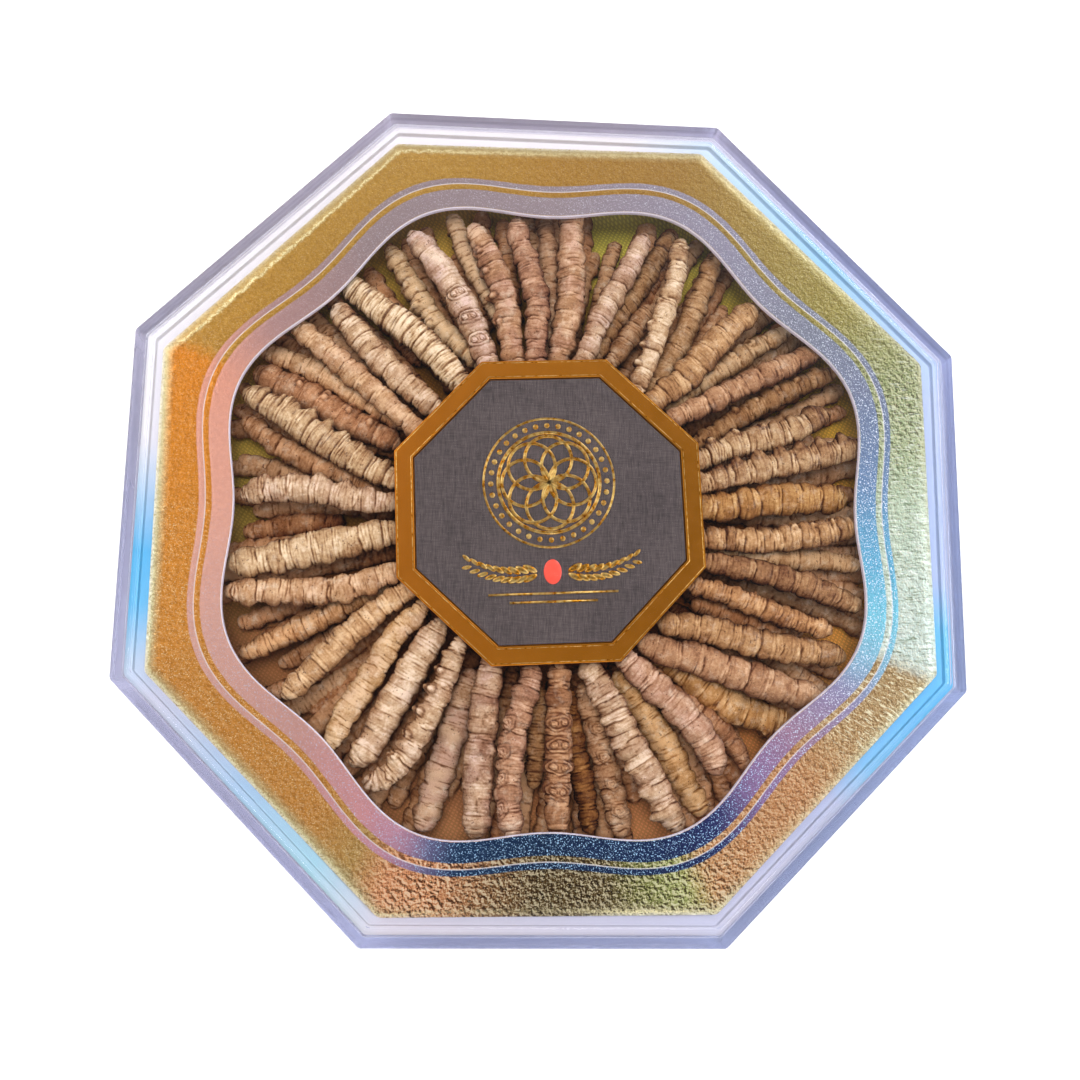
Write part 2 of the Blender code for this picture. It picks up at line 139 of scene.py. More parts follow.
# Photograph's view
VIEW_DISTANCE = 285.7 * MM
VIEW_TILT = radians(10.403)
VIEW_AZIMUTH = radians(249.536)
VIEW_ROLL = radians(0.781)
VIEW_TARGET = 29.7 * MM
IMAGE_SIZE = 1080
FOCAL_PIXELS = 1188.0
VIEW_CENTRE = (549.565, 511.506)
EYE = Vector((-18, -48.3, 310.7)) * MM  # the same viewpoint, from which the lowest bodies were read
READING_HEIGHT = 22.7 * MM
SENSOR = 36                             # mm

UNDERNEATH = 180
Look = namedtuple("Look", "tip middle inner cool segment depth side feature places",
                  defaults=(UNDERNEATH, "", ()))

# How each body looks: shade at its tip, middle and inner end (0 chalk white, 0.5 tan, 1 dark brown), its
# coolness (below 0 warm), its segments' length in mm and the strength of its rings. Then, for those on
# which feet, humps, rings or knobs show: the way these face (0 up, 90 to the clockwise side), their kind,
# and their distances from the middle in mm.
# Part of these values is painted light: deeper bodies are made warmer, and several of them paler, to make
# up for the shade they lie in
LOOKS = {
    1: Look(0.35, 0.25, 0.35, 0.2, 5.0, 0.9, 75, "feet", (62, 56, 50, 45)),
    2: Look(0.40, 0.25, 0.30, -0.3, 5.2, 0.9),
    3: Look(0.39, 0.39, 0.44, 0.0, 5.6, 1.0),
    4: Look(0.10, 0.02, 0.10, -0.2, 4.6, 1.0, 60, "feet", (70, 64, 58)),
    5: Look(0.51, 0.46, 0.46, 0.0, 5.4, 1.0),
    6: Look(0.60, 0.50, 0.55, -0.4, 4.8, 1.0, 60, "feet", (74, 68, 62, 56)),
    7: Look(0.95, 0.45, 0.55, 0.0, 5.4, 1.2, 70, "feet", (58, 51, 44.5)),
    8: Look(0.50, 0.50, 0.60, 0.0, 5.5, 1.2, 80, "humps", (76, 70.5, 65, 59.5, 54, 48.5)),
    9: Look(0.46, 0.51, 0.56, -0.3, 5.2, 1.0),
    10: Look(0.41, 0.36, 0.66, 0.0, 4.8, 1.0, 75, "feet", (71, 66, 61)),
    11: Look(-0.10, -0.10, 0.00, -0.6, 5.0, 1.0),
    12: Look(0.55, 0.80, 0.85, -0.3, 5.4, 0.8),
    13: Look(0.45, 0.50, 0.55, -0.5, 4.4, 1.0),
    14: Look(0.30, 0.35, 0.40, -1.0, 5.0, 1.0),
    15: Look(0.50, 0.42, 0.48, 0.0, 5.0, 0.9),
    16: Look(0.40, 0.40, 0.50, 0.0, 5.8, 0.8),
    17: Look(0.25, 0.20, 0.30, -0.8, 5.4, 1.1, -70, "feet", (73, 67, 61)),
    18: Look(0.47, 0.42, 0.47, -0.8, 5.0, 1.0),
    19: Look(0.29, 0.14, 0.19, 0.6, 6.4, 0.9),
    20: Look(-0.05, -0.08, 0.05, -0.9, 4.8, 1.1),
    21: Look(0.33, 0.28, 0.33, 0.6, 5.6, 1.1, -75, "humps", (75, 69, 63, 57, 51, 46)),
    22: Look(-0.14, 0.10, 0.32, 0.2, 5.6, 1.0, 5, "knobs", (73, 66.5, 60, 53)),
    23: Look(0.90, 0.95, 1.00, -0.8, 4.6, 1.2),
    24: Look(0.35, 0.42, 0.40, 0.3, 5.4, 1.0, 0, "rings", (66, 60.5, 55.4, 50.2)),
    25: Look(0.55, 0.60, 0.70, -0.4, 4.6, 1.1),
    26: Look(0.12, 0.40, 0.48, 0.6, 5.8, 1.1, -36, "knobs", (70, 63.5, 57.5, 51)),
    27: Look(0.36, 0.38, 0.42, 1.0, 5.4, 0.8, 26, "knobs", (71, 64.5, 58, 51.5)),
    28: Look(-0.16, -0.16, 0.24, 1.0, 4.8, 1.0),
    29: Look(0.22, 0.22, 0.27, 0.5, 4.8, 1.0, -60, "feet", (68, 62, 56, 50, 45)),
    30: Look(0.24, 0.17, 0.24, 0.5, 4.6, 0.8),
    31: Look(-0.06, -0.04, 0.14, 0.7, 5.2, 0.8),
    32: Look(0.22, 0.19, 0.25, 0.1, 5.0, 0.9),
    33: Look(0.00, -0.05, 0.00, -1.0, 4.8, 1.1),
    34: Look(0.14, 0.14, 0.20, 0.5, 5.6, 1.1, 120),
    35: Look(0.30, 0.22, 0.28, 0.0, 6.0, 1.1, 115),
    36: Look(0.30, 0.20, 0.28, 0.6, 5.6, 1.1, -80, "humps", (68, 62, 56, 50)),
    37: Look(0.18, 0.14, 0.20, -0.5, 5.0, 1.0),
    38: Look(0.35, 0.30, 0.38, 0.0, 4.4, 1.2, -75, "humps", (70, 64.5, 59, 54, 49)),
    39: Look(0.40, 0.36, 0.36, -0.9, 5.6, 0.8, -40, "feet", (70, 63, 56, 50)),
    40: Look(0.15, 0.12, 0.20, -1.0, 4.8, 0.9),
    41: Look(0.19, 0.14, 0.19, 0.5, 5.0, 0.9),
    42: Look(0.30, 0.25, 0.30, 0.4, 5.2, 0.9),
    43: Look(0.15, 0.15, 0.20, 0.0, 3.4, 1.3),
    44: Look(-0.04, -0.10, -0.06, 0.0, 4.8, 1.0, 60, "feet", (70, 64, 58)),
    45: Look(0.15, 0.12, 0.20, 0.9, 6.0, 0.8, 5, "rings", (60, 53, 47)),
    46: Look(-0.08, -0.13, -0.03, 0.3, 3.6, 1.0),
    47: Look(0.00, 0.26, 0.30, 1.0, 5.0, 0.9, 65, "feet", (70, 64, 57, 50)),
    48: Look(0.30, 0.52, 0.56, 0.6, 5.4, 0.9),
    49: Look(0.10, 0.09, 0.15, 0.4, 4.6, 1.0),
    50: Look(0.25, 0.25, 0.35, 0.9, 4.6, 0.9),
    51: Look(0.40, 0.33, 0.37, 0.8, 5.2, 0.8),
    52: Look(0.57, 0.52, 0.57, 0.0, 4.8, 1.0),
    53: Look(0.25, 0.24, 0.30, 0.0, 5.0, 1.0),
}
FINELY_MODELLED = (7, 8, 22, 24, 26, 45)
SHORT_SEGMENT = 4                       # mm, under which a segment is ridges all over
PAIR_OFFSET = {"rings": 1.1, "feet": 1.1, "humps": 0.9}     # mm to each side

# Lowest bodies that show in gaps: azimuth in degrees and distance of the tip in mm, both as seen
LOWEST_SEEN = ((21, 80), (5.5, 77), (341, 83), (243, 78), (221, 73), (210.8, 73), (201, 78), (184.7, 73),
               (171, 76), (127, 77), (99.3, 77), (72, 80), (67.5, 81))
LOWEST_RADIUS = (2.25, 2.45)            # mm, but for the two that show broad, here by their azimuth
LOWEST_BROAD = {72: 3.1, 67.5: 2.9}
LOWEST_FOOT = 8.2 * MM
LOWEST_INNER = 38                       # mm from the middle
FABRIC_GAPS = (80, 109, 50, 18.5, 339, 313, 289, 253.5, 181.5)


def colour(red, green, blue):
    """Linear colour with full opacity, from values on a screen, 0 to 255."""
    def linear(value):
        share = value / 255
        return share / 12.92 if share <= 0.04045 else ((share + 0.055) / 1.055) ** 2.4
    return (linear(red), linear(green), linear(blue), 1)


def tones(*rows):
    """Stops of a ramp, each from its place and its red, green and blue on a screen."""
    return [(place, colour(*shade)) for place, *shade in rows]


def grades(*rows):
    """Stops of a ramp that carries three strengths, from its place and the three."""
    return [(place, (*strengths, 1)) for place, *strengths in rows]


# What changes round the box, set with the photograph's tones as a guide: place (0 and 1 left, 0.25 bottom,
# 0.5 right, 0.75 top) and colour
RIM_REFLECTION_ROUND = tones(                   # the tray's rim: a painted reflection, cyan in places
    (0.00, 184, 226, 252), (0.02, 104, 206, 252), (0.04, 122, 212, 252), (0.06, 208, 228, 242),
    (0.075, 224, 228, 240), (0.12, 190, 224, 246), (0.16, 190, 236, 244), (0.19, 236, 232, 234),
    (0.33, 220, 222, 236), (0.375, 206, 214, 234), (0.395, 150, 214, 248), (0.425, 122, 208, 252),
    (0.455, 120, 212, 250), (0.475, 196, 214, 244), (0.55, 204, 220, 246), (0.62, 170, 222, 248),
    (0.68, 204, 232, 248), (0.72, 250, 246, 244), (0.93, 255, 254, 252), (0.975, 252, 252, 254),
    (1.00, 184, 226, 252),
)
WALL_TINT_AND_REFLECTION_ROUND = tones(                     # the clouded walls: their lilac tint with painted reflection and light
    (0.00, 206, 208, 230), (0.06, 214, 216, 236), (0.13, 214, 216, 238), (0.20, 208, 214, 240),
    (0.30, 202, 210, 236), (0.40, 196, 208, 236), (0.50, 196, 208, 240), (0.62, 202, 208, 240),
    (0.72, 214, 208, 222), (0.90, 208, 204, 216), (0.96, 204, 204, 222), (1.00, 206, 208, 230),
)
FOIL_AND_REFLECTION_ROUND = tones(                     # the mat's foil: its gold with painted reflection
    (0.000, 234, 160, 58), (0.055, 232, 164, 70), (0.066, 224, 160, 72), (0.110, 222, 160, 74),
    (0.150, 218, 160, 80), (0.172, 202, 166, 96), (0.186, 232, 166, 116), (0.205, 226, 162, 112),
    (0.228, 150, 110, 66), (0.246, 96, 72, 26), (0.276, 100, 80, 32), (0.292, 140, 148, 76),
    (0.307, 176, 188, 114), (0.318, 214, 160, 106), (0.370, 216, 160, 108), (0.400, 200, 164, 112),
    (0.434, 188, 158, 108), (0.439, 236, 255, 244), (0.470, 232, 252, 236), (0.505, 216, 238, 210),
    (0.530, 188, 206, 162), (0.562, 162, 176, 120), (0.600, 176, 166, 90), (0.650, 182, 158, 82),
    (0.700, 184, 144, 62), (0.750, 194, 150, 62), (0.800, 204, 162, 70), (0.870, 200, 158, 70),
    (0.932, 206, 160, 70), (0.937, 238, 156, 44), (1.000, 234, 160, 58),
)
PEARL_AND_REFLECTION_ROUND = tones(                    # the band by the window: its silver with painted reflection
    (0.000, 224, 170, 146), (0.060, 212, 168, 150), (0.120, 200, 156, 142), (0.165, 204, 150, 148),
    (0.185, 188, 142, 154), (0.198, 112, 108, 138), (0.210, 12, 50, 84), (0.250, 0, 38, 70),
    (0.300, 4, 38, 80), (0.330, 36, 44, 96), (0.354, 148, 120, 156), (0.385, 164, 132, 150),
    (0.412, 150, 144, 172), (0.436, 140, 190, 206), (0.452, 128, 204, 218), (0.480, 108, 178, 204),
    (0.520, 114, 144, 174), (0.560, 124, 132, 150), (0.600, 134, 138, 148), (0.660, 152, 148, 160),
    (0.750, 156, 142, 142), (0.850, 154, 136, 132), (0.905, 176, 142, 134), (0.940, 222, 162, 136),
    (1.000, 224, 170, 146),
)
SATIN_AND_LIGHT_ROUND = tones(                    # the cushion: its colour with painted light
    (0.00, 230, 204, 96), (0.03, 212, 168, 90), (0.06, 192, 134, 88), (0.17, 196, 134, 88),
    (0.21, 226, 164, 112), (0.35, 234, 162, 102), (0.50, 255, 186, 76), (0.60, 238, 206, 84),
    (0.72, 246, 238, 108), (0.80, 228, 190, 84), (1.00, 230, 204, 96),
)
GLINT_AND_WRINKLE_ROUND = grades(                 # painted glints of the foil, painted glints of the band, wrinkles (relief, and painted light and shade)
    (0.00, 0.55, 0.10, 0.12), (0.10, 0.70, 0.30, 0.14), (0.17, 0.50, 0.40, 0.20),
    (0.20, 0.35, 0.70, 0.90), (0.25, 0.70, 1.00, 0.75), (0.31, 0.70, 1.00, 0.90),
    (0.35, 0.45, 0.90, 0.45), (0.41, 0.90, 0.80, 0.40), (0.45, 0.50, 1.00, 0.25),
    (0.51, 0.50, 1.00, 0.35), (0.55, 0.80, 0.95, 0.70), (0.60, 0.40, 0.60, 0.22),
    (0.70, 0.16, 0.35, 0.05), (0.90, 0.22, 0.12, 0.05), (0.94, 0.30, 0.06, 0.10),
)
RIM_HIGHLIGHT_ROUND = grades(                   # painted ridge highlight, painted sheen on the mat's rim, place of the ridge
    (0.00, 0.20, 0.92, 0.10), (0.05, 0.70, 0.90, 0.00), (0.10, 0.70, 0.60, 0.00),
    (0.15, 0.60, 0.80, 0.00), (0.19, 0.60, 0.50, 0.00), (0.21, 0.20, 0.10, 0.30),
    (0.26, 0.20, 0.05, 0.35), (0.285, 0.90, 0.80, 0.10), (0.31, 0.90, 0.90, 0.00),
    (0.33, 0.20, 0.30, 0.00), (0.43, 0.30, 0.45, 0.00), (0.45, 0.10, 0.10, 0.00),
    (0.56, 0.25, 0.30, 0.00), (0.62, 0.40, 0.35, 0.15), (0.75, 0.35, 0.70, 0.60),
    (0.83, 0.75, 0.50, 1.00), (0.93, 0.75, 0.45, 1.00), (0.94, 0.15, 0.95, 0.30),
)


class Wire:
    """A shader socket that Python's operators work on. node() adds any other node to the same tree."""

    def __init__(self, tree, socket=None):
        self.tree = tree
        self.socket = socket

    def node(self, kind, settings=None, sockets=None, output=0):
        """Adds a node, makes its settings first, then gives its sockets their values or links."""
        made = self.tree.nodes.new("ShaderNode" + kind)
        for name, value in (settings or {}).items():
            if name == "stops":
                ramp = made.color_ramp.elements
                while len(ramp) < len(value):
                    ramp.new(0.5)
                for element, (position, shade) in zip(ramp, value):
                    element.position = position
                    element.color = shade
            else:
                setattr(made, name, value)
        for name, value in (sockets or {}).items():
            if isinstance(value, Wire):
                self.tree.links.new(value.socket, made.inputs[name])
            else:
                made.inputs[name].default_value = value
        return Wire(self.tree, made.outputs[output] if len(made.outputs) else None)

    def math(self, operation, *values):
        return self.node("Math", {"operation": operation}, dict(enumerate(values)))

    def __add__(self, other):
        return self.math("ADD", self, other)

    def __radd__(self, other):
        return self.math("ADD", other, self)

    def __sub__(self, other):
        return self.math("SUBTRACT", self, other)

    def __rsub__(self, other):
        return self.math("SUBTRACT", other, self)

    def __mul__(self, other):
        return self.math("MULTIPLY", self, other)

    def __rmul__(self, other):
        return self.math("MULTIPLY", other, self)

    def __truediv__(self, other):
        return self.math("DIVIDE", self, other)

    def within(self, low, high):
        """0 below low, 1 above high, and an even rise between them."""
        return self.node("MapRange", {"clamp": True}, {"Value": self, "From Min": low, "From Max": high})

    def mix(self, share, first, second, blend="MIX"):
        """Colour mix by a share from 0 to 1."""
        settings = {"data_type": "RGBA", "blend_type": blend, "clamp_factor": True}
        return self.node("Mix", settings, {0: share, 6: first, 7: second}, 2)

    def parts(self, kind="Color"):
        """The red, green and blue of a colour, or the three numbers of a vector (XYZ)."""
        split = self.node("Separate" + kind, {}, {0: self})
        return [Wire(self.tree, output) for output in split.socket.node.outputs[:3]]

    def attribute(self, name):
        return self.node("Attribute", {"attribute_name": name}, output="Fac")

    def place(self):
        return self.node("TexCoord", output="Object")

    def noise(self, vector, scale, detail=2.0, roughness=0.5):
        sockets = {"Vector": vector, "Scale": scale, "Detail": detail, "Roughness": roughness}
        return self.node("TexNoise", {}, sockets, "Fac")

    def cells(self, vector, scale):
        """Distance from the nearest of many scattered points."""
        return self.node("TexVoronoi", {}, {"Vector": vector, "Scale": scale}, "Distance")

    def ramp(self, share, stops):
        return self.node("ValToRGB", {"stops": stops}, {0: share})

    def bump(self, height, distance, strength=1.0):
        return self.node("Bump", {}, {"Height": height, "Distance": distance, "Strength": strength})


def new_finish(name):
    """An empty material, and the wire that its nodes are made from."""
    material = bpy.data.materials.new(name)
    material.use_nodes = True
    material.node_tree.nodes.clear()
    return material, Wire(material.node_tree)


def surface(wire, sockets):
    """Ends a material in one Principled shader."""
    wire.node("OutputMaterial", {}, {"Surface": wire.node("BsdfPrincipled", {}, sockets)})


def cloud(piece, share, test):
    """Gives the faces that pass the test a plastic that lets only that share of the light through."""
    piece.data.materials.append(clear_plastic(share))
    for face in piece.data.polygons:
        if test(face):
            face.material_index = 1


def faces_out(face):
    """True for the outside of the lid's wall."""
    outward = face.center.copy()
    outward.z = 0
    upright = abs(face.normal.z) < 0.9
    return upright and face.normal.dot(outward) > 0 and outward.length > TRAY_FLAT + CLEARANCE


def apply_place():
    """Moves the active object's place, turn and scale into its mesh."""
    bpy.ops.object.transform_apply(location=True, rotation=True, scale=True)


def close_grid():
    """Merges the edges of a grid that was rolled into a closed shape, and turns its faces outwards."""
    bpy.ops.object.mode_set(mode="EDIT")
    bpy.ops.mesh.select_all(action="SELECT")
    bpy.ops.mesh.remove_doubles(threshold=MERGE)
    bpy.ops.mesh.normals_make_consistent(inside=False)
    bpy.ops.object.mode_set(mode="OBJECT")


def add_piece(name, material, slot, *nodes):
    """Names the active object, gives it its finish, and lets it ride in place of its solids."""
    piece = bpy.context.object
    piece.name = name
    piece.data.name = name
    apply_place()
    piece.data.materials.clear()
    piece.data.materials.append(material)
    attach(piece, "root")
    if nodes:
        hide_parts(*nodes)
    piece.select_set(False)
    return piece


def get_points(mesh):
    points = np.zeros(len(mesh.vertices) * 3, np.float32)
    mesh.vertices.foreach_get("co", points)
    return points.reshape(-1, 3).astype(float)


def set_points(mesh, points):
    mesh.vertices.foreach_set("co", points.astype(np.float32).ravel())
    mesh.update()


def set_attribute(mesh, name, values):
    made = mesh.attributes.new(name, "FLOAT", "POINT")
    made.data.foreach_set("value", values.astype(np.float32).ravel())


def lumps(points, size, seed):
    """Smooth noise from -1 to 1 at each point, with lumps of about that size."""
    table = np.random.default_rng(seed).uniform(-1, 1, NOISE_TABLE)
    cell = points / size
    corner = np.floor(cell).astype(np.int64)
    share = cell - corner
    share = share * share * (3 - 2 * share)
    total = np.zeros(points.shape[:-1])
    for step in product((0, 1), repeat=3):
        key = corner + step
        key = key[..., 0] * NOISE_PRIMES[0] ^ key[..., 1] * NOISE_PRIMES[1] ^ key[..., 2] * NOISE_PRIMES[2]
        weight = np.prod(np.where(step, share, 1 - share), axis=-1)
        total += weight * table[key & NOISE_TABLE - 1]
    return total


def pick(piece, kind, test):
    """In edit mode, selects the faces or edges that pass the test, and no others."""
    bpy.ops.mesh.select_mode(type={"faces": "FACE", "edges": "EDGE"}[kind])
    bpy.ops.mesh.select_all(action="DESELECT")
    shape = bmesh.from_edit_mesh(piece.data)
    for part in getattr(shape, kind):
        if test(part):
            part.select_set(True)
    bmesh.update_edit_mesh(piece.data)


def pick_cap(piece, height, facing):
    """Selects the end face at that height that faces up (1) or down (-1)."""
    pick(piece, "faces", lambda face: face.normal.z * facing > 0.9
         and abs(face.calc_center_median().z - height) < MERGE and len(face.verts) > 4)


def octagon_block(flat, low, high, corner):
    """Adds an eight-sided block with rounded upright corners and leaves it in edit mode."""
    bpy.ops.mesh.primitive_cylinder_add(vertices=FLATS, radius=flat * CORNER, depth=high - low,
                                        location=(0, 0, (low + high) / 2), rotation=(0, 0, pi / FLATS))
    piece = bpy.context.object
    apply_place()
    bpy.ops.object.mode_set(mode="EDIT")
    pick(piece, "edges", lambda edge: abs(edge.verts[0].co.z - edge.verts[1].co.z) > MERGE)
    bpy.ops.mesh.bevel(offset=corner * tan(pi / FLATS / 2), segments=CORNER_SEGMENTS, affect="EDGES")
    return piece


def draw_cap(profile):
    """Extrudes the selected end face through (flat, height) steps, of which the first is where it is."""
    for (flat, height), (next_flat, next_height) in zip(profile, profile[1:]):
        bpy.ops.mesh.extrude_region_move(TRANSFORM_OT_translate={"value": (0, 0, next_height - height)})
        if next_flat != flat:
            scale = next_flat / flat
            bpy.ops.transform.resize(value=(scale, scale, 1))


def round_edges(piece, width, segments=2):
    """Leaves edit mode and rounds every edge that turns by more than 30 degrees."""
    bpy.ops.object.mode_set(mode="OBJECT")
    bevel = piece.modifiers.new("rounding", "BEVEL")
    bevel.width = width
    bevel.segments = segments
    bevel.limit_method = "ANGLE"
    bevel.angle_limit = radians(30)
    bpy.ops.object.modifier_apply(modifier=bevel.name)
    bpy.ops.object.shade_smooth()
    flatten = piece.modifiers.new("flat faces", "WEIGHTED_NORMAL")
    flatten.weight = 100
    bpy.ops.object.modifier_apply(modifier=flatten.name)


# Finishes

@cache
def clear_plastic(clear):
    """Styrene with a faint lilac tint, which lets that share of the light through to what lies inside."""
    look = bpy.context.scene.boxed_cordyceps
    name = {CLEAR: "clear_styrene", HAZY: "hazy_styrene", CLOUDED: "clouded_styrene"}[clear]
    material, wire = new_finish(name)
    place = wire.place()
    share = azimuth_share(wire, place)
    # Clouded faces: their lilac tint with painted reflection and light that change round the box
    cast_and_reflection = (*look.plastic_tint, 1) if clear == CLEAR else wire.ramp(share, WALL_TINT_AND_REFLECTION_ROUND)
    cast_and_reflection = wire.mix(wire.noise(place, 30, 2) * 0.3, cast_and_reflection, (0.95, 0.95, 0.98, 1), "MULTIPLY")
    if clear < CLEAR:
        # Painted shade: grey lines round the clouded walls
        level = place.parts("XYZ")[2]
        for height, width, strength in WALL_SHADE_LINES:
            line = 1 - wire.math("ABSOLUTE", level - height).within(width / 2, width)
            cast_and_reflection = wire.mix(line * strength, cast_and_reflection, (0.30, 0.30, 0.38, 1), "MULTIPLY")
    # The tray's rim takes a painted reflection, cyan in places round the box
    tint = wire.mix(wire.attribute("streak"), cast_and_reflection, wire.ramp(share, RIM_REFLECTION_ROUND))
    shader = wire.node("BsdfPrincipled", {}, {
        "Base Color": tint, "Roughness": 0.015 + (1 - clear) * 0.2, "IOR": 1.5,
        "Transmission Weight": clear})
    open_way = wire.node("BsdfTransparent", {}, {"Color": (0.99, 0.99, 1.0, 1)})
    shadow = wire.node("LightPath", output="Is Shadow Ray")
    mixed = wire.node("MixShader", {}, {0: shadow, 1: shader, 2: open_way})
    wire.node("OutputMaterial", {}, {"Surface": mixed})
    return material


def azimuth_share(wire, place):
    """0 to 1 once round the box, from -X through -Y, +X and +Y."""
    east, north, _ = place.parts("XYZ")
    return wire.math("ARCTAN2", north, east) / (2 * pi) + 0.5


def crumpled(wire, place, scale):
    """Sharp creases in slanting light: above 0 where they face the light and below 0 on their far side."""
    levels = []
    for shift in ((0, 0, 0), (0.26 * MM, 0.3 * MM, 0)):
        moved = wire.node("Mapping", {}, {"Vector": place, "Location": shift})
        levels.append(wire.math("ABSOLUTE", wire.noise(moved, scale, 3, 0.55) - 0.5))
    return levels[1] - levels[0]


def gold_foil():
    """Embossed foil with a pearly band and a line by the window; its hue round the mat is painted
    reflection.
    """
    look = bpy.context.scene.boxed_cordyceps
    material, wire = new_finish("embossed_foil")
    place = wire.place()
    reach = wire.attribute("reach")
    rim = wire.attribute("rim")
    share = azimuth_share(wire, place)
    fray = wire.noise(place, 700, 3) - 0.5
    # Painted reflection: the foil's hue changes round the mat
    foil = wire.ramp(share + fray * 0.006, FOIL_AND_REFLECTION_ROUND)
    # Painted reflection: the pearly band's colours change round the mat
    pearl = wire.ramp(share + (wire.noise(place, 60, 3) - 0.5) * 0.02, PEARL_AND_REFLECTION_ROUND)
    # Strengths round the mat of the painted glints and of the wrinkles
    foil_glints, pearl_glints, wrinkles = wire.ramp(share, GLINT_AND_WRINKLE_ROUND).parts()
    ridge_light, rim_sheen, ridge_place = wire.ramp(share, RIM_HIGHLIGHT_ROUND).parts()
    grain = wire.noise(place, 950, 4, 0.65)
    soft = wire.noise(place, 260, 3)
    fine = (1 - wire.cells(place, 1700).within(0.10, 0.30)) * wire.noise(place, 420, 2).within(0.42, 0.55)
    coarse = 1 - wire.cells(place, 900).within(0.08, 0.20)
    pits = wire.noise(place, 2400, 2, 0.6)
    sparkle = wire.noise(place, 3000, 1).within(0.60, 0.68)
    lit, shaded = 0, 0
    for turn in (22, 74, 128):
        along = {"Vector": place, "Rotation": (0, 0, radians(turn)), "Scale": (210, 1500, 1)}
        hair = wire.noise(wire.node("Mapping", {}, along), 1, 2, 0.6)
        lit = lit + hair.within(0.60, 0.68)
        shaded = shaded + (1 - hair).within(0.60, 0.68)
    # Painted reflection: one side of the foil is pale, with painted lit and shaded hair lines
    reflecting_side = share.within(0.436, 0.44) - share.within(0.50, 0.60)
    # Painted light and shade on the creases: lit on one side, shaded on the other
    slant = crumpled(wire, place, 440) + crumpled(wire, place, 800) * 0.5
    painted_crest_light = slant.within(0.012, 0.06)
    painted_furrow_shade = (0 - slant).within(0.012, 0.06)
    # Painted sheen: the mat's rim is paler where it catches the light
    toned = wire.mix((1 - rim.within(1.0, 3.4)) * rim_sheen, foil, colour(202, 196, 150))
    toned = wire.mix(pits.within(0.42, 0.58) * 0.3, toned, (0.62, 0.52, 0.40, 1), "MULTIPLY")
    toned = wire.mix(grain.within(0.35, 0.65) * 0.4, toned, (0.66, 0.56, 0.44, 1), "MULTIPLY")
    toned = wire.mix(painted_furrow_shade * (wrinkles * 1.1 + 0.02), toned, (0.16, 0.11, 0.07, 1), "MULTIPLY")
    toned = wire.mix(painted_crest_light * (wrinkles * 0.8 + 0.02), toned, (0.66, 0.60, 0.40, 1), "SCREEN")
    toned = wire.mix(shaded * reflecting_side * 0.8, toned, (0.42, 0.47, 0.38, 1), "MULTIPLY")
    toned = wire.mix(lit * reflecting_side * 0.7, toned, colour(250, 255, 240))
    # Painted glints: bright specks on the foil
    painted_glints = (fine + coarse * 0.6 + sparkle * 0.7) * foil_glints
    toned = wire.mix(painted_glints * 0.9, toned, colour(255, 244, 196))
    # Painted highlight: a bright crinkled ridge inside the rim
    shoulder = rim + (wire.noise(place, 620, 3, 0.6) - 0.5) * 2.6 - ridge_place * 1.8 - 0.6
    ridge = (1 - wire.math("ABSOLUTE", shoulder).within(0.1, 0.7)) * pits.within(0.38, 0.50)
    toned = wire.mix(ridge * ridge_light, toned, colour(255, 246, 190))
    # Painted glints along the mat's outer edge
    glint = (1 - rim.within(0.2, 0.9)) * pits.within(0.36, 0.52)
    toned = wire.mix(glint * rim_sheen * 0.8, toned, colour(252, 250, 228))
    rays = wire.node("CombineXYZ", {}, {"X": share * 1000, "Y": reach * 0.3})
    flecks = wire.noise(rays, 1, 2, 0.6).within(0.56, 0.62)
    fleck_side = share.within(0.385, 0.405) - share.within(0.432, 0.444)
    toned = wire.mix(flecks * fleck_side * 0.8, toned, colour(255, 248, 210))
    wobble = reach + (wire.noise(place, 700, 2) - 0.5) * 0.25
    band = wobble.within(PEARL_BAND[0] - 0.1, PEARL_BAND[0] + 0.05) - wobble.within(
        PEARL_BAND[1] - 0.08, PEARL_BAND[1] + 0.08)
    line = wobble.within(PEARL_LINE[0] - 0.08, PEARL_LINE[0] + 0.08) - wobble.within(
        PEARL_LINE[1] - 0.12, PEARL_LINE[1] + 0.12)
    silver = band + line
    pearl = wire.mix(grain.within(0.4, 0.6) * 0.25, pearl, (0.74, 0.72, 0.78, 1), "MULTIPLY")
    fleck = wire.mix(share.within(0.34, 0.42), colour(186, 226, 250), colour(244, 250, 255))
    # Painted glints on the pearly band, cyan to one side
    pearl = wire.mix((fine + coarse + sparkle) * pearl_glints * 0.95, pearl, fleck)
    shade = wire.mix(silver, toned, pearl)
    bright_line = reach.within(6.4, 6.5) - reach.within(6.6, 6.8)
    shade = wire.mix(bright_line * 0.7, shade, colour(240, 236, 234))
    edge = 1 - reach.within(0.15, 0.35)
    shade = wire.mix(edge, shade, colour(226, 222, 232))
    relief = grain + fine * 0.5 + slant * (wrinkles + 0.05) * 8
    surface(wire, {
        "Base Color": shade,
        "Metallic": 0.6 - silver * 0.2 - edge * 0.4,
        "Roughness": 0.30 + soft * 0.14,
        "Normal": wire.bump(relief, look.grain_depth),
    })
    return material


def label_gold():
    """Smooth copper-gold foil, painted brighter and more orange to the left, where the light falls."""
    material, wire = new_finish("label_gold")
    place = wire.place()
    # Painted light: brighter to the left, darker to the right
    across = place.parts("XYZ")[0].within(-0.04, 0.04)
    brushed = wire.noise(place, 420, 3)
    shade = wire.ramp(across, tones((0, 228, 146, 40), (0.5, 216, 142, 32), (1, 192, 128, 26)))
    shade = wire.mix(brushed.within(0.35, 0.65) * 0.1, shade, colour(226, 160, 80))
    surface(wire, {
        "Base Color": shade, "Metallic": 0.85, "Roughness": 0.3 + brushed * 0.12,
        "Normal": wire.bump(wire.noise(place, 2600, 2), 0.02 * MM, 0.4)})
    return material


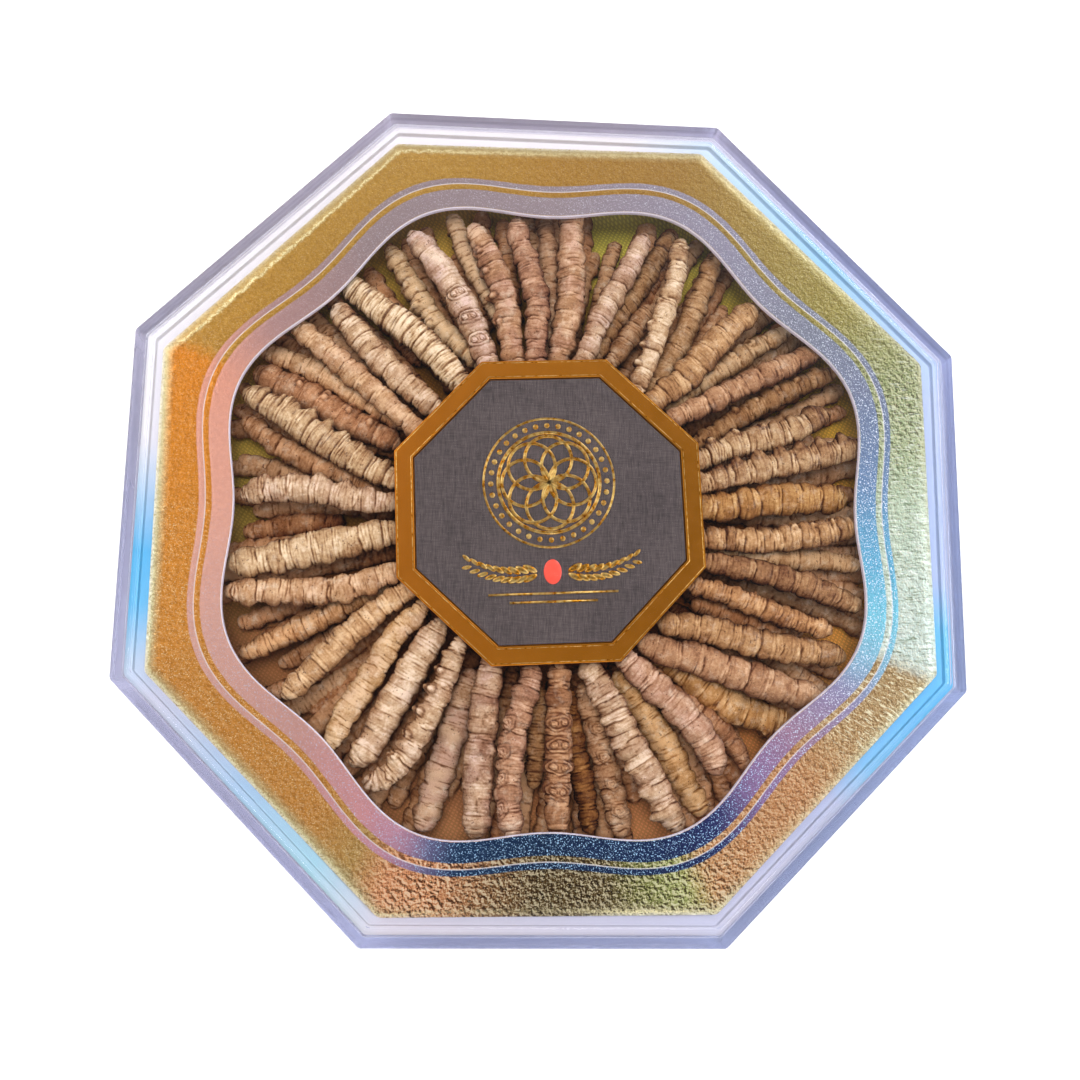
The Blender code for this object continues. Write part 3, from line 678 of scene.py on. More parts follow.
def ornament_gold():
    """Bright embossed gold of the ornament and the rules."""
    material, wire = new_finish("ornament_gold")
    place = wire.place()
    worn = wire.noise(place, 900, 3)
    shade = wire.ramp(worn, tones((0.38, 214, 150, 40), (0.62, 255, 222, 140)))
    surface(wire, {"Base Color": shade, "Metallic": 1.0, "Roughness": 0.22 + worn * 0.15})
    return material


def label_dark():
    """Warm grey board with a fine linen grain."""
    material, wire = new_finish("label_dark")
    place = wire.place()
    warp, weft = (wire.noise(wire.node("Mapping", {}, {"Vector": place, "Scale": scale}), 1, 2)
                  for scale in ((5200, 380, 1000), (380, 5200, 1000)))
    linen = warp * 0.6 + weft * 0.4
    drift = wire.noise(place, 60, 2)
    shade = wire.ramp(linen * 0.8 + drift * 0.2, tones((0.36, 70, 63, 62), (0.64, 110, 100, 96)))
    surface(wire, {
        "Base Color": shade, "Metallic": 0.25, "Roughness": 0.5,
        "Normal": wire.bump(linen, 0.05 * MM, 0.6)})
    return material


def coral_lacquer():
    """Plain coral-red lacquer of the accent on the label."""
    material, wire = new_finish("coral_lacquer")
    place = wire.place()
    shade = wire.mix(wire.noise(place, 700, 3), colour(232, 78, 60), colour(244, 104, 84))
    surface(wire, {"Base Color": shade, "Roughness": 0.35, "Coat Weight": 0.3})
    return material


WEAVE_TURN = (radians(30), radians(30), radians(38))     # so that the weave shows on upright sides too


def satin():
    """Golden-green satin with a visible diagonal weave, painted light round the box and painted shade
    towards the middle.
    """
    material, wire = new_finish("satin")
    place = wire.place()
    turned = wire.node("Mapping", {}, {"Vector": place, "Rotation": WEAVE_TURN})
    warp, weft = (wire.node("TexWave", {"wave_type": "BANDS", "bands_direction": direction},
                            {"Vector": turned, "Scale": 420, "Distortion": 1.2, "Detail Scale": 2.0}, "Fac")
                  for direction in "XY")
    weave = warp * weft
    share = azimuth_share(wire, place)
    # Painted light: the satin's colour changes round the box
    shade = wire.ramp(share, SATIN_AND_LIGHT_ROUND)
    shade = wire.mix(weave.within(0.1, 0.5), wire.mix(0.35, shade, (0.16, 0.12, 0.02, 1)), shade)
    # Painted shade: the satin is darker towards the middle, where it lies under the bodies
    distance = wire.node("VectorMath", {"operation": "LENGTH"}, {0: place}, "Value")
    shade = wire.mix(1 - distance.within(0.060, 0.082), shade, (0.40, 0.25, 0.19, 1), "MULTIPLY")
    surface(wire, {
        "Base Color": shade, "Roughness": 0.42, "Sheen Weight": 0.3,
        "Normal": wire.bump(weave, 0.12 * MM, 0.8)})
    return material


BODY_SHADES = {                          # pale ridges, crests, broad parts, hollows, deep creases; the pale end also gives painted highlight, the dark end painted shade
    "cordyceps_pale": ((238, 216, 180), (196, 165, 124), (156, 119, 81), (100, 62, 36), (42, 20, 12)),
    "cordyceps_tan": ((226, 194, 150), (186, 147, 102), (150, 110, 70), (100, 62, 36), (42, 20, 12)),
    "cordyceps_rosy": ((228, 196, 160), (186, 146, 108), (150, 109, 76), (100, 60, 38), (42, 20, 12)),
    "cordyceps_golden": ((226, 196, 148), (188, 150, 96), (154, 112, 62), (106, 66, 32), (46, 22, 10)),
    "cordyceps_brown": ((210, 170, 128), (174, 132, 92), (140, 96, 60), (94, 54, 30), (42, 18, 8)),
}
SHADE_STOPS = (0.0, 0.28, 0.52, 0.78, 1.0)


@cache
def dried_body(slot):
    """Dry, mealy skin with dark specks and blushed and chalky patches; pale ridges and brown creases are
    partly painted light.
    """
    material, wire = new_finish(slot.replace("cordyceps", "dried"))
    place = wire.place()
    fold = wire.attribute("fold")
    tone = wire.attribute("tone")
    mottle = wire.noise(place, 260, 5, 0.65)
    grit = wire.noise(place, 1500, 4, 0.7)
    blush = wire.noise(place, 150, 2).within(0.42, 0.6)
    meal = wire.noise(place, 430, 5, 0.7).within(0.52, 0.68)
    specks = (1 - wire.cells(place, 1250).within(0.12, 0.28)) * wire.noise(place, 640, 2).within(0.50, 0.60)
    stops = tones(*((position, *shade) for position, shade in zip(SHADE_STOPS, BODY_SHADES[slot])))
    # This share carries painted shade on the sides and in creases, and painted highlight on ridges
    share = tone * 0.6 + 0.10 + (mottle - 0.5) * 0.9 + (grit - 0.5) * 0.6 + fold * 0.36
    shade = wire.ramp(share, stops)
    cool = wire.mix(1.0, shade, colour(230, 220, 246), "MULTIPLY")
    coolness = wire.attribute("cool")
    shade = wire.mix(coolness * (blush * 0.4 + 0.5), shade, cool)
    shade = wire.mix(0 - coolness, shade, wire.mix(1.0, shade, colour(255, 238, 226), "MULTIPLY"))
    shade = wire.mix(meal * (1 - tone) * 0.45, shade, colour(242, 226, 198))
    shade = wire.mix(specks * 0.75, shade, colour(84, 46, 26))
    broken = wire.noise(place, 520, 2).within(0.34, 0.56)
    # Creases painted darker: partly painted shade
    shade = wire.mix(fold.within(0.3, 1.1) * (broken * 0.38 + 0.12), shade, colour(80, 40, 22))
    height = grit * 0.8 + mottle * 0.5 - specks * 0.5
    surface(wire, {
        "Base Color": shade, "Roughness": 0.62 + grit * 0.2, "Specular IOR Level": 0.35,
        "Normal": wire.bump(height, 0.26 * MM, 0.9)})
    return material


# Dried bodies

def rings_of(node):
    """Centres and radii of a body's rings from its outer tip inwards, read from its six-sided solid."""
    mesh = frame["nodes"][node].data
    corners = np.zeros(len(mesh.loops), np.int32)
    mesh.loops.foreach_get("vertex_index", corners)
    places, index = np.unique(np.round(get_points(mesh)[corners], 6), axis=0, return_inverse=True)
    triangles = index.reshape(-1, 3)
    beside = [set() for _ in places]
    for triangle in triangles:
        for vertex in triangle:
            beside[vertex].update(triangle)
    caps = []
    for a, b, c in places[triangles]:
        normal = np.cross(b - a, c - a)
        normal /= np.linalg.norm(normal)
        flat = np.flatnonzero(abs((places - a) @ normal) < 0.006 * MM)
        if len(flat) == 6:
            spread = np.linalg.norm(places[flat] - places[flat].mean(axis=0), axis=1)
            if spread.std() < 0.03 * spread.mean():
                caps.append(flat)
    ring = set(max(caps, key=lambda flat: hypot(*places[flat].mean(axis=0)[:2])))
    seen = set()
    centres, radii = [], []
    while ring:
        spots = places[sorted(ring)]
        centres.append(spots.mean(axis=0))
        radii.append(np.linalg.norm(spots - centres[-1], axis=1).mean())
        seen |= ring
        ring = set().union(*(beside[vertex] for vertex in ring)) - seen
    return np.array(centres), np.array(radii)


def smooth_line(given):
    """Close points on a smooth curve through the given rows."""
    ends = np.vstack([2 * given[0] - given[1], given, 2 * given[-1] - given[-2]])
    dense = []
    for a, b, c, d in zip(ends, ends[1:], ends[2:], ends[3:]):
        for t in np.linspace(0, 1, 16, endpoint=False):
            dense.append(0.5 * (2 * b + (c - a) * t + (2 * a - 5 * b + 4 * c - d) * t ** 2
                                + (3 * b - a - 3 * c + d) * t ** 3))
    dense.append(given[-1])
    return np.array(dense)


def run_along(points):
    """Distance of each point from the first, along the line through them."""
    return np.concatenate([[0], np.cumsum(np.linalg.norm(np.diff(points, axis=0), axis=1))])


def wavy(rng, angles, count, waves=5):
    """For each of count rings, a value from about -1 to 1 that wanders round the girth."""
    total = np.zeros((count, angles.size))
    for wave in range(1, waves + 1):
        phase = rng.uniform(0, 2 * pi, (count, 1))
        total += rng.normal(0, 0.55 / wave ** 0.5, (count, 1)) * np.cos(wave * angles.ravel() + phase)
    return total.reshape((count,) + angles.shape)


def bell(value, centre, width, power=2):
    """1 at the centre, and nearly 0 from about twice the width; flatter on top with a higher power."""
    return np.exp(-((value - centre) / width) ** power)


def work_segments(look, rng, run, angles, length):
    """Swells, ridges and grooves along a body: height in mm, and crease colour with painted shade, by run
    and angle.
    """
    places, depths, widths = [], [], []
    swell, fold = np.zeros_like(run), np.zeros_like(run)
    start = rng.uniform(0.6, 2.2)
    while start < length:
        segment = look.segment * rng.uniform(0.9, 1.1)
        ridge = rng.uniform(0.62, 0.82)
        ridges = int(segment / ridge) if look.segment < SHORT_SEGMENT else rng.integers(2, 4)
        for step in range(ridges + 1):
            places.append(start + step * ridge)
            depths.append(rng.uniform(0.3, 0.54) if step == 0 else rng.uniform(0.16, 0.34))
            widths.append(rng.uniform(0.14, 0.24))
        broad, end = start + ridges * ridge, start + segment
        fine = broad + rng.uniform(0.5, 0.8)
        while fine < end - 0.5:
            places.append(fine)
            depths.append(rng.uniform(0.05, 0.19))
            widths.append(rng.uniform(0.12, 0.2))
            fine += rng.uniform(0.5, 0.9)
        on_ridges = (run >= start) & (run < broad)
        on_broad = (run >= broad) & (run < end)
        swell[on_ridges] = 0.12
        # Ridge zones painted paler: partly painted highlight
        fold[on_ridges] = -0.38
        rise = np.sin(pi * (run[on_broad] - broad) / max(end - broad, 0.3)) ** 0.7
        swell[on_broad] = rng.uniform(0.4, 0.72) * rise
        fold[on_broad] = rng.uniform(-0.12, 0.12)
        start = end
    places, depths, widths = (np.array(values)[:, None, None] for values in (places, depths, widths))
    wander = wavy(rng, angles, len(places))[:, None] * 0.24
    strength = np.clip(0.75 + 0.65 * wavy(rng, angles, len(places), 7), 0.0, 1.35)[:, None]
    apart = (run[None, :, None] - places - wander) / widths
    grooves = (depths * look.depth * strength * np.exp(-apart ** 2)).sum(axis=0)
    fold = fold[:, None] + np.clip(grooves / 0.3, 0, 1.4)
    belly = angles - radians(-look.side)
    return swell[:, None] * look.depth * (1 + 0.6 * np.cos(belly)) - grooves, fold


def work_knob(look, spot, along, across, height, fold):
    """One round knob with wobbling lines round it."""
    turn = np.arctan2(along, across)
    distance = np.hypot(along, across) * (1 + 0.14 * np.sin(2 * turn + spot) + 0.08 * np.sin(5 * turn))
    strong = look.depth ** 2
    fold *= np.clip(distance / 1.2 - 0.6, 0.1, 1)
    height += (0.5 + 0.6 * strong) * bell(distance, 0, 1.9, 4)
    for radius, strength in ((0.5, 0.85), (1.1, 0.9), (1.85, 1.1)):
        patchy = 0.7 + 0.3 * np.sin(turn * 2 + 3 * radius + spot)
        line = strong * strength * patchy * bell(distance, radius, 0.21)
        height -= 0.36 * line
        fold += line
    # The knob's top painted pale: painted highlight
    fold -= strong * (0.9 * bell(distance, 0, 0.3) + 0.5 * bell(distance, 0.8, 0.16))


def work_oval(look, along, across, height, fold):
    """The oval line that runs round both rings of a pair."""
    height += 0.6 * look.depth ** 2 * bell(np.hypot(along / 2.0, across / 2.2), 0, 1, 4)
    oval = np.hypot(along / 1.5, across / 2.8)
    fold *= np.clip(oval * 1.5 - 0.6, 0, 1)
    height += 0.26 * bell(oval, 1.0, 0.16) - 0.34 * bell(oval, 0.74, 0.12)
    height -= 0.36 * bell(oval, 1.28, 0.12)
    fold += 0.8 * bell(oval, 0.76, 0.13) + 0.7 * bell(oval, 1.28, 0.14)
    fold -= 0.4 * bell(oval, 1.0, 0.14)


def work_pair(feature, along, across, height, fold):
    """Two rings, feet or humps side by side."""
    for side in (-PAIR_OFFSET[feature], PAIR_OFFSET[feature]):
        distance = np.hypot(along, across - side)
        if feature == "rings":
            height += 0.55 * bell(distance, 0, 0.68, 4) - 0.14 * bell(distance, 0.40, 0.12)
            # Pale dome tops and dark rings: partly painted highlight and shade
            fold += 0.8 * bell(distance, 0.40, 0.1) - 1.2 * bell(distance, 0, 0.32)
            fold += bell(distance, 0.86, 0.12) - 0.6 * bell(distance, 0.6, 0.1)
        elif feature == "feet":
            height += 0.85 * bell(distance, 0, 0.95, 4)
            fold += 0.8 * bell(distance, 1.05, 0.25) - 0.9 * bell(distance, 0, 0.6)
        else:
            height += 0.85 * bell(distance, 0, 1.5, 4)
            fold += 0.3 * bell(distance, 1.8, 0.3) - 0.3 * bell(distance, 0, 1.0)


def body_relief(look, number, run, angles, length, radius, far_out):
    """Height over the mean girth in mm, and crease colour with painted shading (-1 pale ridge, 1 dark
    crease), by run and angle.
    """
    height, fold = work_segments(look, np.random.default_rng(100 + number), run, angles, length)
    across = ((angles + radians(look.side) + pi) % (2 * pi) - pi) * radius[:, None]
    for spot in look.places:
        middle = np.interp(-spot, -far_out, run)
        along = run[:, None] - middle + 0.22 * np.sin(2 * angles + spot)
        along = along + 0.12 * np.sin(7 * angles + 2 * spot)
        if look.feature == "knobs":
            work_knob(look, spot, along, across, height, fold)
            continue
        if look.feature == "rings":
            work_oval(look, along, across, height, fold)
        work_pair(look.feature, along, across, height, fold)
    return height, np.clip(fold, -1, 1)


def shape_body(mesh, number, look, centres, radii, girth_over):
    """Draws the blank out along the rings' centres and works its segments, creases and feet."""
    blank = get_points(mesh)
    share = np.arccos(np.clip(blank[:, 2], -1, 1)) / pi
    turn = np.round(np.arctan2(blank[:, 1], blank[:, 0]) % (2 * pi), 3)
    turn[turn > 2 * pi - 0.002] = 0
    shares, row = np.unique(np.round(share, 5), return_inverse=True)
    turns, column = np.unique(turn, return_inverse=True)
    angles = turns - 0.4 * np.sin(turns)            # closer together on the upper side
    outward = (centres[0] - centres[1]) / np.linalg.norm(centres[0] - centres[1])
    inward = (centres[-1] - centres[-2]) / np.linalg.norm(centres[-1] - centres[-2])
    tip_cap, inner_cap = 0.55 * radii[0], 0.55 * radii[-1]
    ends = centres[0] + outward * tip_cap, centres[-1] + inward * inner_cap
    line = smooth_line(np.vstack([ends[0], centres, ends[1]]))
    steps = run_along(line)
    length = steps[-1]
    ring_run = run_along(centres) + tip_cap
    run = length * (shares - 0.16 / (2 * pi) * np.sin(2 * pi * shares))
    middle = np.stack([np.interp(run, steps, line[:, axis]) for axis in range(3)], axis=1)
    widest = radii.max()
    blunt = np.maximum(radii, 0.80 * widest)
    girth = girth_over[0] * np.interp(run, ring_run[1:-1], blunt[1:-1])
    tip = np.clip(run / (1.05 * widest), 0, 1)
    inner_end = np.clip((length - run) / (1.3 * widest), 0, 1)
    girth = girth * np.sqrt(1 - (1 - tip) ** 2.2) * np.sqrt(1 - (1 - inner_end) ** 2)
    # The body's own directions at each step: along it, upwards and to its side
    heading = -np.gradient(middle, axis=0)
    for _ in range(6):
        heading[1:-1] = (heading[:-2] + 2 * heading[1:-1] + heading[2:]) / 4
    heading /= np.linalg.norm(heading, axis=1, keepdims=True)
    above = np.array([0, 0, 1.0]) - heading[:, 2:] * heading
    above /= np.linalg.norm(above, axis=1, keepdims=True)
    beside = np.cross(heading, above)
    far_out = np.minimum.accumulate(np.hypot(middle[:, 0], middle[:, 1]) / MM)
    height, fold = body_relief(look, number, run / MM, angles, length / MM, girth / MM, far_out)
    fade = np.clip(girth / (0.7 * widest), 0, 1)[:, None]
    round_angles = angles[None, :, None]
    direction = above[:, None] * np.cos(round_angles) + beside[:, None] * np.sin(round_angles)
    rough = (middle[:, None] + direction * girth[:, None, None]) / MM + number * 17.0
    head = bell(run, 0, 0.9 * widest)[:, None]
    height = height * fade + 0.34 * lumps(rough, 3.2, number)
    height = height + (0.16 + 0.3 * head) * lumps(rough, 1.3, number + 60)
    height = height + 0.07 * lumps(rough, 0.55, number + 120)
    flatten = 1 + 0.05 * np.cos(2 * angles + number)[None, :]
    height = (height - girth_over[1]) * np.clip(girth / (0.25 * widest), 0, 1)[:, None]
    reach = girth[:, None] * flatten + height * MM
    reach = np.maximum(reach, 0)
    reach[0] = reach[-1] = 0
    shape = middle[:, None] + direction * reach[..., None]
    set_points(mesh, shape[row, column])
    stations = (look.tip, look.tip, look.middle, look.middle, look.inner)
    tone = np.interp(run / length, (0.0, 0.08, 0.22, 0.6, 1.0), stations)
    # Painted shade: the sides that turn from the top are made darker
    turned_away_shade = np.clip(1 - np.cos(angles - radians(14) * np.sin(number)), 0, 1.2)
    tone = tone[:, None] + 0.14 * lumps(rough, 5.0, number + 180) - 0.05 + 0.64 * turned_away_shade ** 1.4
    set_attribute(mesh, "fold", (fold * fade)[row, column])
    set_attribute(mesh, "tone", tone[row, column])
    set_attribute(mesh, "cool", np.full(len(row), look.cool))


def blank_body(segments, rings):
    """The round blank that bodies of one fineness are drawn out from."""
    bpy.ops.mesh.primitive_uv_sphere_add(segments=segments, ring_count=rings, radius=1)
    bpy.ops.object.shade_smooth()
    blank = bpy.context.object
    blank.select_set(False)
    return blank


def copy_of(blank, name):
    made = bpy.data.objects.new(name, blank.data.copy())
    bpy.context.collection.objects.link(made)
    bpy.context.view_layer.objects.active = made
    made.select_set(True)
    return made


# Operators

class BoxedCordycepsSettings(bpy.types.PropertyGroup):
    """Sizes and colours that a user would change."""
    corner_radius: FloatProperty(
        name="Corner Radius", description="Rounding of the box's upright corners",
        default=3.0 * MM, min=0.5 * MM, max=10 * MM, unit="LENGTH")
    plastic_tint: FloatVectorProperty(
        name="Plastic Tint", description="Colour that light takes on in the clear plastic",
        default=(0.94, 0.94, 0.985), size=3, min=0, max=1, subtype="COLOR")
    grain_depth: FloatProperty(
        name="Grain Depth", description="Height of the foil's leather grain",
        default=0.14 * MM, min=0, max=0.4 * MM, unit="LENGTH")
    ring_count: IntProperty(
        name="Rings", description="Mesh rings along each body of the top layer",
        default=200, min=40, max=300)
    floor_colour: FloatVectorProperty(
        name="Floor", description="Colour of the floor that the box stands on",
        default=(0.93, 0.93, 0.93), size=3, min=0, max=1, subtype="COLOR")
    key_power: FloatProperty(
        name="Key Light", description="Power of the large softbox at the upper left",
        default=1.2, min=0, max=100, unit="POWER")
    overhead_power: FloatProperty(
        name="Overhead Light", description="Power of the softbox over the box",
        default=3.3, min=0, max=100, unit="POWER")
    world_strength: FloatProperty(
        name="Surroundings", description="Brightness of the white studio round the box",
        default=0.55, min=0, max=5)


class OBJECT_OT_clear_tray(bpy.types.Operator):
    """Models the clear tray: floor, stepped wall with a ledge for the mat, and the flange under the lid"""
    bl_idname = "cordyceps.clear_tray"
    bl_label = "Clear Tray"

    def execute(self, context):
        look = context.scene.boxed_cordyceps
        outside = TRAY_FLAT - TRAY_STEP
        ledge = MAT_UNDERSIDE - CLEARANCE
        piece = octagon_block(BOX_FLAT, 0, FLANGE_TOP, look.corner_radius)
        pick_cap(piece, FLANGE_TOP, 1)
        draw_cap((
            (BOX_FLAT, FLANGE_TOP),
            (outside, FLANGE_TOP),
            (outside, ledge - TRAY_WALL),
            (TRAY_FLAT, ledge - TRAY_WALL),
            (TRAY_FLAT, TRAY_RIM),
            (TRAY_FLAT - TRAY_WALL, TRAY_RIM),
            (TRAY_FLAT - TRAY_WALL, ledge),
            (outside - TRAY_WALL, ledge),
            (outside - TRAY_WALL, LID_PANEL),
        ))
        pick_cap(piece, 0, -1)
        draw_cap((
            (BOX_FLAT, 0),
            (BOX_FLAT - TRAY_WALL, 0),
            (BOX_FLAT - TRAY_WALL, FLANGE_UNDERSIDE),
            (outside, FLANGE_UNDERSIDE),
            (outside, 0),
        ))
        round_edges(piece, 0.3 * MM)
        points = get_points(piece.data)
        azimuth = np.arctan2(points[:, 1], points[:, 0])
        flat = abs(np.cos((azimuth + pi / FLATS) % (2 * pi / FLATS) - pi / FLATS))
        flat *= np.hypot(points[:, 0], points[:, 1])
        on_rim = (points[:, 2] > ledge - 0.5 * MM) & (flat > outside - TRAY_WALL - 0.6 * MM)
        # Marks the rim that takes the painted cyan reflection
        set_attribute(piece.data, "streak", 1.0 * on_rim)
        piece = add_piece("clear_tray", clear_plastic(CLEAR), "clear_plastic", "base_tray")
        cloud(piece, CLOUDED, lambda face: face.center.z > MAT_UNDERSIDE - 1 * MM
              or abs(face.center.z - FLANGE_TOP) < CLEARANCE)
        return {"FINISHED"}


class OBJECT_OT_clear_lid(bpy.types.Operator):
    """Models the clear lid with its rounded corners and the moulded line round its top"""
    bl_idname = "cordyceps.clear_lid"
    bl_label = "Clear Lid"

    def execute(self, context):
        look = context.scene.boxed_cordyceps
        inside = BOX_FLAT - LID_WALL
        inset, depth, width = MOULDED_LINE
        line = BOX_FLAT - inset
        piece = octagon_block(BOX_FLAT, LID_FOOT, BOX_TOP, look.corner_radius)
        pick_cap(piece, BOX_TOP, 1)
        draw_cap((
            (BOX_FLAT, BOX_TOP),
            (line, BOX_TOP),
            (line - depth, BOX_TOP - depth),
            (line - depth - width, BOX_TOP - depth),
            (line - 2 * depth - width, BOX_TOP),
        ))
        pick_cap(piece, LID_FOOT, -1)
        draw_cap(((BOX_FLAT, LID_FOOT), (inside, LID_FOOT), (inside, BOX_TOP - LID_PANEL)))
        round_edges(piece, 0.35 * MM, 3)
        piece = add_piece("clear_lid", clear_plastic(CLEAR), "clear_plastic", "lid")
        cloud(piece, HAZY, lambda face: faces_out(face) or face.center.z < LID_FOOT + CLEARANCE)
        return {"FINISHED"}


def octagon_reach(azimuth, flat):
    """Distance of an octagon's softly rounded edge from its middle at each azimuth."""
    spread = np.zeros_like(azimuth)
    for side in range(FLATS):
        spread += np.clip(np.cos(azimuth - side * 2 * pi / FLATS), 0, None) ** CORNER_SHARPNESS
    return flat / spread ** (1 / CORNER_SHARPNESS)


class OBJECT_OT_gold_mat(bpy.types.Operator):
    """Models the foil-covered mat: a grid rolled round the window, with its leather grain in relief"""
    bl_idname = "cordyceps.gold_mat"
    bl_label = "Gold Mat"

    def execute(self, context):
        look = context.scene.boxed_cordyceps
        bevel_width, bevel_drop = MAT_BEVEL
        around, over = 1440, 44
        # Cross-section from the underside of the window's edge, over the top, to the rim and back.
        steps = [("window", 0.0, MAT_UNDERSIDE), ("window", 0.0, MAT_TOP - 0.3 * MM),
                 ("window", 0.08 * MM, MAT_TOP - 0.1 * MM)]
        steps += [("top", share, MAT_TOP) for share in np.linspace(0, 1, over)]
        steps += [("bevel", share, MAT_TOP) for share in np.linspace(0, 1, 8)[1:]]
        steps += [("rim", 0.0, MAT_UNDERSIDE), ("window", 0.0, MAT_UNDERSIDE)]
        bpy.ops.mesh.primitive_grid_add(x_subdivisions=around, y_subdivisions=len(steps) - 1, size=2)
        piece = context.object
        points = get_points(piece.data)
        azimuth = (points[:, 0] + 1) * pi
        row = np.round((points[:, 1] + 1) / 2 * (len(steps) - 1)).astype(int)
        window = WINDOW_MEAN - WINDOW_WAVE * np.cos(FLATS * azimuth)
        rim = octagon_reach(azimuth, MAT_FLAT)
        shoulder = octagon_reach(azimuth, MAT_FLAT - bevel_width)
        first = window + 0.3 * MM
        distance = np.zeros_like(azimuth)
        height = np.zeros_like(azimuth)
        for index, (part, value, level) in enumerate(steps):
            on = row == index
            if part == "window":
                distance[on] = window[on] + value
                height[on] = level
            elif part == "top":
                distance[on] = first[on] + (shoulder[on] - first[on]) * value
                height[on] = level
            elif part == "bevel":
                distance[on] = shoulder[on] + (rim[on] - shoulder[on]) * value
                height[on] = level - bevel_drop * value ** 1.3
            else:
                distance[on] = rim[on]
                height[on] = level
        reach = (distance - window) / MM
        turned = azimuth + MAT_TURN
        spot = np.stack([distance * np.cos(turned), distance * np.sin(turned), 0 * turned], axis=1) / MM
        corner = np.clip(1 - abs((azimuth / (pi / FLATS)) % 2 - 1) / 0.45, 0, 1)
        polar = np.stack([azimuth * 75, distance / MM * 0.24, 0 * turned], axis=1)
        share = (turned / (2 * pi) + 0.5) % 1
        rough = np.interp(share, *zip(*((stop, strengths[2]) for stop, strengths in GLINT_AND_WRINKLE_ROUND)))
        grain = 0.5 * lumps(spot, 1.15, 1) + 0.5 * lumps(spot, 0.8, 3)
        folds = np.clip(corner + 0.4 * rough, 0, 1) * lumps(polar, 1.0, 4) * rough
        creases = -np.clip(0.10 - abs(lumps(spot, 5.0, 5)), 0, 1) * 6 * rough
        on_top = np.clip((height - MAT_UNDERSIDE) / (0.5 * MM) - 0.5, 0, 1)
        calm = np.interp(reach, (0, 0.6, 5.1, 8.3, 9.5), (0, 0.4, 0.5, 0.6, 1))
        relief = (grain * (0.3 + 0.6 * rough) + folds * 1.2 + creases * 0.5) * calm
        for edge in (PEARL_BAND[1], PEARL_LINE[0], PEARL_LINE[1]):
            relief -= 0.9 * bell(reach, edge, 0.16)
        crinkle = bell(distance, shoulder, 0.8 * MM)
        relief += crinkle * 0.8 * lumps(spot, 1.1, 6)
        height += on_top * (relief - 0.6) * look.grain_depth
        set_points(piece.data, np.stack([spot[:, 0] * MM, spot[:, 1] * MM, height], axis=1))
        set_attribute(piece.data, "reach", reach)
        set_attribute(piece.data, "rim", (rim - distance) / MM)
        close_grid()
        bpy.ops.object.shade_smooth_by_angle(angle=radians(50))
        add_piece("foil_mat", gold_foil(), "gold_foil", "gold_mat")
        return {"FINISHED"}


def set_on_label(piece):
    """Turns and moves a piece that was made round the middle to the label's place."""
    piece.rotation_euler.z = LABEL_TURN
    piece.location = (*LABEL_CENTRE, 0)


class OBJECT_OT_label(bpy.types.Operator):
    """Models the label: gold border with soft bevels, and the dark board let into it"""
    bl_idname = "cordyceps.label"
    bl_label = "Label"

    def execute(self, context):
        floor = PANEL_UNDERSIDE - CLEARANCE
        piece = octagon_block(LABEL_FLAT, PLATE_UNDERSIDE, PLATE_TOP, 0.8 * MM)
        pick_cap(piece, PLATE_TOP, 1)
        draw_cap(((LABEL_FLAT, PLATE_TOP), (RECESS_FLAT, PLATE_TOP), (RECESS_FLAT, floor)))
        round_edges(piece, 0.28 * MM, 3)
        set_on_label(piece)
        add_piece("label_border", label_gold(), "label_gold", "label_plate")
        inner = RECESS_FLAT - CLEARANCE
        piece = octagon_block(inner, PANEL_UNDERSIDE, PANEL_TOP, 0.5 * MM)
        round_edges(piece, 0.12 * MM)
        set_on_label(piece)
        add_piece("label_board", label_dark(), "label_dark", "label_panel")
        return {"FINISHED"}


def flat_ring(radius, width, centre, height):
    """A raised ring on the board."""
    bpy.ops.mesh.primitive_torus_add(
        major_radius=radius, minor_radius=width / 2, major_segments=72, minor_segments=10,
        location=(*centre, height))
    ring = bpy.context.object
    ring.scale = (1, 1, 0.8)
    apply_place()
    return ring


def bead(radius, centre, height, stretch=(1, 1), turn=0.0):
    """A low domed bead, or a leaf if it is stretched."""
    bpy.ops.mesh.primitive_uv_sphere_add(segments=16, ring_count=8, radius=radius,
                                         location=(*centre, height), rotation=(0, 0, turn))
    made = bpy.context.object
    made.scale = (*stretch, 0.45)
    apply_place()
    return made


def round_rosette(step, count, radius):
    """Place of one of so many even steps round the rosette's middle."""
    azimuth = step * 2 * pi / count
    return (ROSETTE[0] + radius * cos(azimuth), ROSETTE[1] + radius * sin(azimuth))


